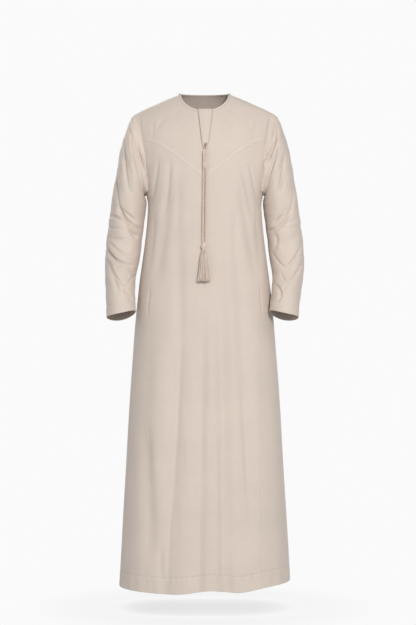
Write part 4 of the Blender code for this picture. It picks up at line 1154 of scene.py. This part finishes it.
# Creases of the sleeves, as on the body; arm is -1 for the sleeve on the -X side alone and 1 for the other
sleeveCreases = rows(
    "arm side  topX   topZ    midX   midZ    footX  footZ   width  depth   lean",
    (-1, -1, 0.2262, -0.104, 0.2112, -0.159, 0.1881, -0.262, 0.0048, 0.0062, -0.6),
    (-1, -1, 0.2181, -0.078, 0.2070, -0.129, 0.1962, -0.172, 0.0041, 0.0048, -0.6),
    (-1, -1, 0.2031, -0.150, 0.1900, -0.196, 0.1760, -0.246, 0.0044, 0.0065, -0.8),
    (-1, -1, 0.2391, -0.140, 0.2370, -0.207, 0.2220, -0.297, 0.0048, 0.0055, -0.6),
    (-1, -1, 0.2583, -0.200, 0.2631, -0.276, 0.2499, -0.350, 0.0052, 0.0055, -0.5),
    (-1, -1, 0.2541, -0.338, 0.2283, -0.382, 0.1880, -0.407, 0.0053, 0.0134, -0.9),
    (-1, -1, 0.2470, -0.345, 0.2250, -0.366, 0.2000, -0.384, 0.0033, 0.0056, -0.6),
    (-1, -1, 0.2850, -0.366, 0.2583, -0.374, 0.2331, -0.392, 0.0041, 0.0077, -0.6),
    (-1, -1, 0.2283, -0.397, 0.2112, -0.421, 0.1980, -0.430, 0.0050, 0.0125, -0.5),
    (-1, -1, 0.2900, -0.404, 0.2601, -0.405, 0.2283, -0.411, 0.0030, 0.0034, -0.5),
    (-1, -1, 0.2910, -0.428, 0.2600, -0.438, 0.2283, -0.434, 0.0033, 0.0040, -0.5),
    (-1, -1, 0.2841, -0.444, 0.2511, -0.474, 0.2050, -0.490, 0.0041, 0.0061, -0.7),
    (-1, -1, 0.2950, -0.455, 0.2631, -0.498, 0.2110, -0.516, 0.0052, 0.0096, -0.8),
    (-1, -1, 0.2883, -0.500, 0.2712, -0.545, 0.2499, -0.598, 0.0074, 0.0062, -0.3),
    (-1, -1, 0.2740, -0.530, 0.2361, -0.520, 0.2050, -0.552, 0.0033, 0.0056, -0.6),
    (-1, -1, 0.2730, -0.530, 0.2499, -0.566, 0.2180, -0.576, 0.0036, 0.0055, 0.6),
    (-1, -1, 0.2300, -0.573, 0.2151, -0.555, 0.2040, -0.546, 0.0033, 0.0049, 0.5),
    (-1, -1, 0.2370, -0.584, 0.2241, -0.603, 0.2090, -0.620, 0.0044, 0.0091, -0.8),
    (1, -1, 0.2109, -0.130, 0.1960, -0.177, 0.1770, -0.224, 0.0044, 0.0066, -0.8),
    (1, -1, 0.2130, -0.094, 0.2067, -0.138, 0.1959, -0.172, 0.0041, 0.0045, -0.6),
    (1, -1, 0.2367, -0.180, 0.2268, -0.258, 0.2150, -0.302, 0.0044, 0.0050, -0.6),
    (1, -1, 0.2196, -0.150, 0.2010, -0.210, 0.1800, -0.280, 0.0046, 0.0059, -0.7),
    (1, -1, 0.2619, -0.245, 0.2649, -0.309, 0.2499, -0.362, 0.0050, 0.0067, -0.7),
    (1, -1, 0.2520, -0.352, 0.2280, -0.391, 0.1880, -0.412, 0.0053, 0.0110, -0.9),
    (1, -1, 0.2367, -0.363, 0.2169, -0.379, 0.2000, -0.398, 0.0036, 0.0055, -0.7),
    (1, -1, 0.2770, -0.373, 0.2559, -0.384, 0.2360, -0.397, 0.0033, 0.0038, -0.5),
    (1, -1, 0.2800, -0.394, 0.2559, -0.402, 0.2330, -0.406, 0.0031, 0.0035, -0.5),
    (1, -1, 0.2019, -0.417, 0.2139, -0.440, 0.2060, -0.476, 0.0065, 0.0043, 0.4),
    (1, -1, 0.2880, -0.445, 0.2709, -0.489, 0.2330, -0.527, 0.0052, 0.0065, -0.7),
    (1, -1, 0.2000, -0.470, 0.2238, -0.511, 0.2580, -0.532, 0.0043, 0.0039, 0.6),
    (1, -1, 0.2930, -0.500, 0.2709, -0.540, 0.2210, -0.596, 0.0055, 0.0056, -0.5),
    (1, -1, 0.2230, -0.531, 0.2367, -0.564, 0.2580, -0.554, 0.0036, 0.0043, -0.5),
    (1, -1, 0.2050, -0.568, 0.2238, -0.597, 0.2130, -0.622, 0.0046, 0.0073, 0.6),
    (0, 1, 0.216, -0.120, 0.206, -0.200, 0.190, -0.280, 0.0048, 0.0046, -0.6),
    (0, 1, 0.240, -0.180, 0.236, -0.250, 0.222, -0.320, 0.0048, 0.0041, -0.6),
    (0, 1, 0.262, -0.230, 0.262, -0.290, 0.250, -0.345, 0.0052, 0.0037, -0.5),
    (0, 1, 0.280, -0.345, 0.246, -0.372, 0.200, -0.382, 0.0044, 0.0055, -0.8),
    (0, 1, 0.284, -0.400, 0.248, -0.416, 0.202, -0.410, 0.0043, 0.0051, -0.7),
    (0, 1, 0.286, -0.446, 0.256, -0.442, 0.218, -0.450, 0.0037, 0.0032, -0.6),
    (0, 1, 0.286, -0.490, 0.254, -0.478, 0.210, -0.494, 0.0043, 0.0041, -0.6),
    (0, 1, 0.286, -0.540, 0.256, -0.530, 0.218, -0.548, 0.0041, 0.0033, -0.6),
    (0, 1, 0.270, -0.560, 0.256, -0.600, 0.240, -0.635, 0.0059, 0.0028, -0.4),
    (0, 0, 0.296, -0.388, 0.284, -0.400, 0.270, -0.404, 0.0044, 0.0020, -0.5),
    (0, 0, 0.300, -0.476, 0.286, -0.484, 0.272, -0.480, 0.0044, 0.0020, -0.5),
)


def bodyNormal(turn, z):
    around = bodyPoint(turn + 0.02, z) - bodyPoint(turn - 0.02, z)
    up = bodyPoint(turn, z + 1e-5) - bodyPoint(turn, z - 1e-5)
    return unit(np.cross(around, up))


def armholeEdge(sign):
    # once round from the shoulder tip by the front: points, normals and turns of the sleeve's columns
    share = np.linspace(0, 1, grids["armholeRows"])
    rise = 1 - ((share + np.sin(share * np.pi / 2)) / 2) ** 2
    cornerZ, tipZ = robe["armholeCornerZ"], float(shoulderHeight(robe["tipX"]))
    stripZ = cornerZ + (tipZ - cornerZ) * rise
    stripTurn = np.degrees(np.arcsin(armholeX(stripZ) / halfWidth(stripZ)))
    g = np.linspace(0, 1, grids["armholeFoot"])[1:-1]
    goreTurn = stripTurn[-1] + (180 - 2 * stripTurn[-1]) * g
    goreZ = cornerZ + (robe["armholeLowZ"] - cornerZ) * np.sin(np.pi * g)
    bodyTurn = np.concatenate([stripTurn, goreTurn, 180 - stripTurn[:0:-1]])
    z = np.concatenate([stripZ, goreZ, stripZ[:0:-1]])
    normal = bodyNormal(sign * bodyTurn, np.minimum(z, tipZ - 2e-4))
    normal[0] = (0, 0, 1)
    height = tipZ - robe["armholeLowZ"]
    down = np.degrees(np.arccos(np.clip((2 * z - tipZ - robe["armholeLowZ"]) / height, -1, 1)))
    return bodyPoint(sign * bodyTurn, z), normal, np.where(bodyTurn > 90, 360 - down, down)


def sleevePoints(sign):
    # rows from the armhole to the cuff: an ellipse between the outer and the under line. Its first
    # stations fade from the armhole's own outline, and folds push the front and the back in
    edge, edgeNormal, turn = armholeEdge(sign)
    last = len(sleeveRings["outX"]) - 1
    along = np.concatenate([(0, 0.0008, 0.0018), np.linspace(0.0035, 0.985, grids["sleeveRows"]),
                            np.linspace(0.986, 1, 9)])
    station = (along * last)[:, None]
    at = {name: smooth(station, np.arange(last + 1), column) for name, column in sleeveRings.items()}
    cosine, sine = np.cos(np.radians(turn)), np.sin(np.radians(turn))
    x = (at["outX"] + at["underX"]) / 2 + cosine * (at["outX"] - at["underX"]) / 2
    z = (at["outZ"] + at["underZ"]) / 2 + cosine * (at["outZ"] - at["underZ"]) / 2
    y = at["midY"] - sine * at["halfY"]
    z = z + ease((station - 7) / 5) * (sleeve["cuffLean"] * sine * at["halfY"] - sleeve["cuffSag"] * sine**2)
    if sign > 0:
        x = x - sleeve["rightCuffIn"] * ease((station - 9) / 3)
    grid = np.stack([sign * x, y, z], axis=-1)
    fade = (1 - ease(station / sleeve["armholeFade"]))[..., None]
    grid = grid + fade * (edge - grid[:1])
    # above the fold under the arm, the sleeve head starts along the body's own slope
    line = np.roll(edge, -1, axis=0) - edge
    away = unit(np.cross(edgeNormal, line)) * sign
    tipFall = float(shoulderHeight(robe["tipX"] + sleeve["tipStep"]) - shoulderHeight(robe["tipX"]))
    slope = away.copy()
    slope[0] = unit(np.array((sign * sleeve["tipStep"], 0, tipFall)))
    reach = lengthAlong(grid, 0)[..., None]
    follow = ease((edge[:, 2] - sleeve["followZ"]) / sleeve["followFade"])[:, None]
    follow = (1 - ease(reach / sleeve["seamFlow"])) * follow
    grid = grid + follow * (edge + slope * reach - grid)
    side = -np.sign(sine) * np.minimum(1, 2 * np.abs(sine)) * ease(station)
    grid[..., 1] += foldDepth(sleeveFolds, np.abs(grid[..., 0]), grid[..., 2], side) * np.sign(sine)
    normal = gridNormal(grid, closed=True) * sign
    fine = creaseDepth(sleeveCreases, np.abs(grid[..., 0]), grid[..., 2], ease(0.5 + 1.6 * sine), sign)
    wave = np.sin(2 * np.pi * (station / 0.83 + 0.3 * np.sin(np.radians(2 * turn))))
    fine = fine + 0.0005 * wave * np.sin(np.radians(3 * turn) + station)
    fine = fine * ease(station / 0.8) * ease((last - station) / 0.25)
    grid = grid - normal * fine[..., None]
    normal = gridNormal(grid, closed=True) * sign
    normal[0] = edgeNormal
    # the first row steps off the body's edge, square to both of its neighbouring edge lines
    before = np.roll(away, 1, axis=0)
    step = (away + before) / (1 + (away * before).sum(-1, keepdims=True)).clip(0.3)
    grid[0] += step * robe["seamShow"]
    return grid, normal


def makeSleeve(side, sign):
    points, normal = sleevePoints(sign)
    flipped = sign < 0
    away = edgeAway(points, closed=True)
    around = lengthAlong(points, 1)
    seam = np.abs(around - around[:, [points.shape[1] // 2]])
    dip = robe["seamDip"] * (bell(away["foot"], robe["seamWidth"]) + 0.7 * bell(seam, robe["seamWidth"]))
    dip = dip + sleeve["cuffGroove"] * bell(away["top"] - sleeve["cuffHem"], sleeve["cuffGrooveWidth"])
    pinch = sleeve["pinch"] * bell(away["foot"] - sleeve["pinchAt"], sleeve["pinchWidth"])
    dip = dip + pinch * bell(points[..., 2] - sleeve["pinchZ"], sleeve["pinchReach"])
    thin = thinEdge(nearest(away["foot"], away["top"]), robe["cloth"])
    outer = points - normal * (dip + thin)[..., None]
    turned = sleeve["cuffStep"] * ease((sleeve["cuffHem"] - away["top"]) / 0.001)
    inner = points - normal * (robe["cloth"] + turned + dip - thin)[..., None]
    made = wallPiece(f"sleeve_cloth_{side}", outer, inner, clothUv(points, closed=True), cloth,
                     closed=True, flipped=flipped)
    quarters = ("front_upper", "front_lower", "back_upper", "back_lower")
    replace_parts(made, *[f"sleeve_{quarter}_{side}" for quarter in quarters])
    row = int(np.argmin(np.abs(away["top"].mean(axis=1) - sleeve["cuffHem"])))
    loop, loopNormal = (np.concatenate([grid[row], grid[row][:1]]) for grid in (outer, normal))
    stitches = stitchRow(f"cuff_stitches_{side}", loop, loopNormal, thread, 0.0028)


for side, sign in (("left", -1), ("right", 1)):
    makeSleeve(side, sign)
print("sleeves made")


# Neck binding, flap and chest bands

binding = {
    "height": 0.0055,
    "wall": 0.0020,
    "corner": 0.55,  # power that squares its section
    "sides": 20,
    "shown": 0.0078,
    "flat": 0.010,
    "seat": 1.3,  # seam gaps between the panels' edge and its foot
    "leanOut": 0.16,
    "leanUp": 0.04,
}
# dark stitches that paint shade: along the flap's folded edges, wider on the -X side where the shade is
# wider, and where it forks
edging = {
    "rows": 120,
    "pitch": 0.0022,
    "length": 0.0027,
    "width": (0.0025, 0.0015),  # at the flap's -X and +X edge
    "height": 0.0011,
    "lift": 0.0016,
    "forkPitch": 0.0125,
    "forkSize": (0.0115, 0.0062, 0.0014),
    "forkReach": (0.0005, 0.0135),
    "forkLift": 0.0009,
}

bandLine = rows(
    "x      z",
    (0.1700, -0.1405),
    (0.1495, -0.1480),
    (0.1034, -0.1754),
    (0.0577, -0.2117),
    (0.0167, -0.2435),
    (0.0002, -0.2530),
)


def neckline():
    # the panels' neck edge once round, with the cloth's normal at each place
    points, normals = [], []
    halves = (frontColumns, frontPoints, frontNormal, 1), (backColumns, backPoints, backNormal, -1)
    for columns, grid, normal, order in halves:
        atNeck = np.abs(columns) <= robe["neckColumn"] + 1e-9
        points.append(grid[-1][atNeck][::order].copy())
        normals.append(normal[-3][atNeck][::order].copy())
    for frontEnd, backEnd in ((-1, 0), (0, -1)):
        for both in (points, normals):
            both[0][frontEnd] = (both[0][frontEnd] + both[1][backEnd]) / 2
    return np.concatenate([points[0], points[1][1:-1]]), unit(np.concatenate([normals[0], normals[1][1:-1]]))


def makeBinding():
    # a folded strip on the neck edge: a rounded section between its foot and its top, once round
    points, normal = neckline()
    line = np.roll(points, -1, axis=0) - points
    away = unit(np.cross(normal, line))
    before = np.roll(unit(np.cross(np.roll(normal, -1, axis=0), line)), 1, axis=0)
    away = (away + before) / (1 + (away * before).sum(-1, keepdims=True))
    foot = points + away * robe["seamGap"] * binding["seat"]
    side = (np.abs(points[:, :1]) / robe["neckHalf"]) ** 2
    rise = away + side * (normal * binding["leanOut"] + (0, 0, binding["leanUp"]))
    rise = unit(rise) * np.linalg.norm(away, axis=-1, keepdims=True)
    top = foot + rise * binding["height"]
    along = np.roll(top, -1, axis=0) - np.roll(top, 1, axis=0)
    face = unit(np.cross(along, rise))
    innerFoot, innerTop = foot - normal * binding["wall"], top - face * binding["wall"]
    turn = np.linspace(0, 2 * np.pi, binding["sides"], endpoint=False)[:, None, None]
    across, up = (0.5 + 0.5 * np.sign(wave) * np.abs(wave) ** binding["corner"]
                  for wave in (np.cos(turn), np.sin(turn)))
    low = (1 - across) * innerFoot + across * foot
    high = (1 - across) * innerTop + across * top
    points = (1 - up) * low + up * high
    ring = np.concatenate([points, points[:1]])
    ring = np.concatenate([ring, ring[:, :1]], axis=1)
    uv = clothUv(ring)[:, :, ::-1]
    i, j = np.mgrid[0:ring.shape[0], 0:ring.shape[1]]
    table = (i % points.shape[0]) * points.shape[1] + j % points.shape[1]
    faces, loops = corners(table).reshape(-1, 4).tolist(), corners(uv).reshape(-1, 4, 2)
    made = addPiece("binding", points, faces, trim, loops)
    orientOut(made)
    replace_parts(made, "neck_binding")


def flapPoint(u, w):
    # u runs from -1 to 1 across the flap, w from 0 at its top to 1 at its foot
    half = tassel["flapTopHalf"] + (tassel["flapFootHalf"] - tassel["flapTopHalf"]) * w
    z = tassel["flapTopZ"] + (tassel["flapFootZ"] - tassel["flapTopZ"]) * w
    return frontPoint(tassel["flapX"] + u * half, z)


def lyingPiece(name, points, lift, thickness, finish, flipped, roundOff, stitchAt):
    # strip that lies on the front: its face stands off the cloth, its edges round off and are stitched
    normal = gridNormal(points, flipped=flipped)
    away = edgeAway(points)
    edge = nearest(*away.values())
    drop = 0.45 * thickness * (1 - np.clip(edge / roundOff, 0, 1)) ** 2
    sides = nearest(away["left"], away["right"])
    groove = 0.14 * thickness * bell(sides - stitchAt, 0.0007)
    outer = points + normal * (lift - drop - groove)[..., None]
    inner = points + normal * (lift - thickness + drop)[..., None]
    made = wallPiece(name, outer, inner, clothUv(points), finish, flipped=flipped)
    stitched = [np.argmin(np.abs(away[key].mean(axis=0) - stitchAt)) for key in ("left", "right")]
    stitches = [stitchRow(f"{name}_stitches_{k}", outer[:, column], normal[:, column], thread, 0.0026,
                          seed=k + 3) for k, column in enumerate(stitched)]
    return made


def makeTrims():
    u = np.concatenate([(-1, -0.985, -0.96), np.linspace(-0.93, 0.93, 33), (0.96, 0.985, 1)])
    w = np.concatenate([(0, 0.003, 0.007), np.linspace(0.012, 0.988, 90), (0.993, 0.997, 1)])
    # one dark stitch paints the shade in the opening where the flap forks, and a row of dark edge stitches
    # under each folded edge paints the shade along it, with a darker edge line
    forward = np.tile((0.0, -1.0, 0.0), (edging["rows"], 1))
    forkTop, forkFoot = (tassel["flapFootZ"] - reach for reach in edging["forkReach"])
    fork = frontPoint(np.full(20, tassel["flapX"]), np.linspace(forkTop, forkFoot, 20))
    fork = fork + forward[:20] * edging["forkLift"]
    edges = [stitchRow("flap_fork_shade", fork, forward[:20], edgeShadeThread, edging["forkPitch"], edging["forkSize"])]
    for side, width in zip((-1, 1), edging["width"]):
        edge = flapPoint(np.full(edging["rows"], side * 1.01), np.linspace(0.004, 0.992, edging["rows"]))
        size = edging["length"], width, edging["height"]
        edges.append(stitchRow(f"flap_edge_shade_{side + 2}", edge + forward * edging["lift"], forward, edgeShadeThread,
                               edging["pitch"], size))
    flap = lyingPiece("flap", flapPoint(u[None], w[:, None]), tassel["flapLift"] + tassel["flapWall"],
                      tassel["flapWall"], cloth, True, 0.0012, 0.0026)
    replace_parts(flap, "placket_flap")
    knots = np.linspace(0, 1, len(bandLine["x"]))
    w = np.concatenate([(0, 0.002), np.linspace(0.004, 0.996, 120), (0.998, 1)])[:, None]
    u = np.concatenate([(-1, -0.95, -0.9), np.linspace(-0.8, 0.8, 9), (0.9, 0.95, 1)])[None]
    for side, sign in (("left", -1), ("right", 1)):
        x, z = smooth(w, knots, bandLine["x"]), smooth(w, knots, bandLine["z"])
        points = frontPoint(sign * x + 0 * u, z + u * tassel["bandHalf"])
        band = lyingPiece(f"band_{side}", points, tassel["bandShown"], tassel["bandShown"],
                          bandCloth, sign < 0, 0.0010, 0.0016)
        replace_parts(band, f"chest_band_{side}")


makeBinding()
makeTrims()
print("binding, flap and bands made")


# Floor and light

def makeFloor():
    half, z = view["floorHalf"], view["floorZ"]
    plane = bpy.data.meshes.new("floor")
    square = [(-half, -half, z), (half, -half, z), (half, half, z), (-half, half, z)]
    plane.from_pydata(square, [], [(0, 1, 2, 3)])
    plane.materials.append(floorMaterial())
    made = bpy.data.objects.new("floor", plane)
    bpy.context.scene.collection.objects.link(made)
    made.visible_diffuse = False  # the air alone lights the robe from below


lights = {
    "key": {"place": (1.6, -6.4, 1.6), "target": (0, 0, -0.7), "size": 1.2, "power": 318,
            "colour": (1.0, 0.985, 0.970)},
    "fill": {"place": (-2.6, -3.2, 0.2), "target": (0, 0, -0.8), "size": 2.4, "power": 12,
             "colour": (1.0, 0.98, 0.96)},
    "rim": {"place": (-1.6, 2.6, 1.2), "target": (0, 0, -0.6), "size": 1.8, "power": 42,
            "colour": (1.0, 0.98, 0.96)},
}


def makeLight(name, place, target, size, power, colour):
    lamp = bpy.data.lights.new(name, "AREA")
    lamp.shape, lamp.size, lamp.energy, lamp.color = "DISK", size, power, colour
    made = bpy.data.objects.new(name, lamp)
    made.location = place
    made.rotation_euler = (Vector(target) - Vector(place)).to_track_quat("-Z", "Y").to_euler()
    bpy.context.scene.collection.objects.link(made)


def makeAir():
    world = bpy.data.worlds.new("studio")
    world.use_nodes = True
    tree = world.node_tree
    shader = tree.nodes["Background"]
    shader.inputs["Color"].default_value = (*view["air"], 1)
    shader.inputs["Strength"].default_value = view["airLight"]
    # the background itself is shown at full strength, whatever light it gives
    seen = addNode(tree, "ShaderNodeBackground", (0, -200), Strength=view["airShown"])
    seen.inputs["Color"].default_value = (*view["air"], 1)
    path = addNode(tree, "ShaderNodeLightPath", (-300, 200))
    mix = addNode(tree, "ShaderNodeMixShader", (250, 0),
                  [(0, path.outputs["Is Camera Ray"]), (1, shader.outputs[0]), (2, seen.outputs[0])])
    tree.links.new(mix.outputs[0], tree.nodes["World Output"].inputs["Surface"])
    bpy.context.scene.world = world


makeFloor()
makeAir()
for name, lamp in lights.items():
    makeLight(name, **lamp)
bpy.context.scene.view_settings.view_transform = "Standard"
print("floor and light made")
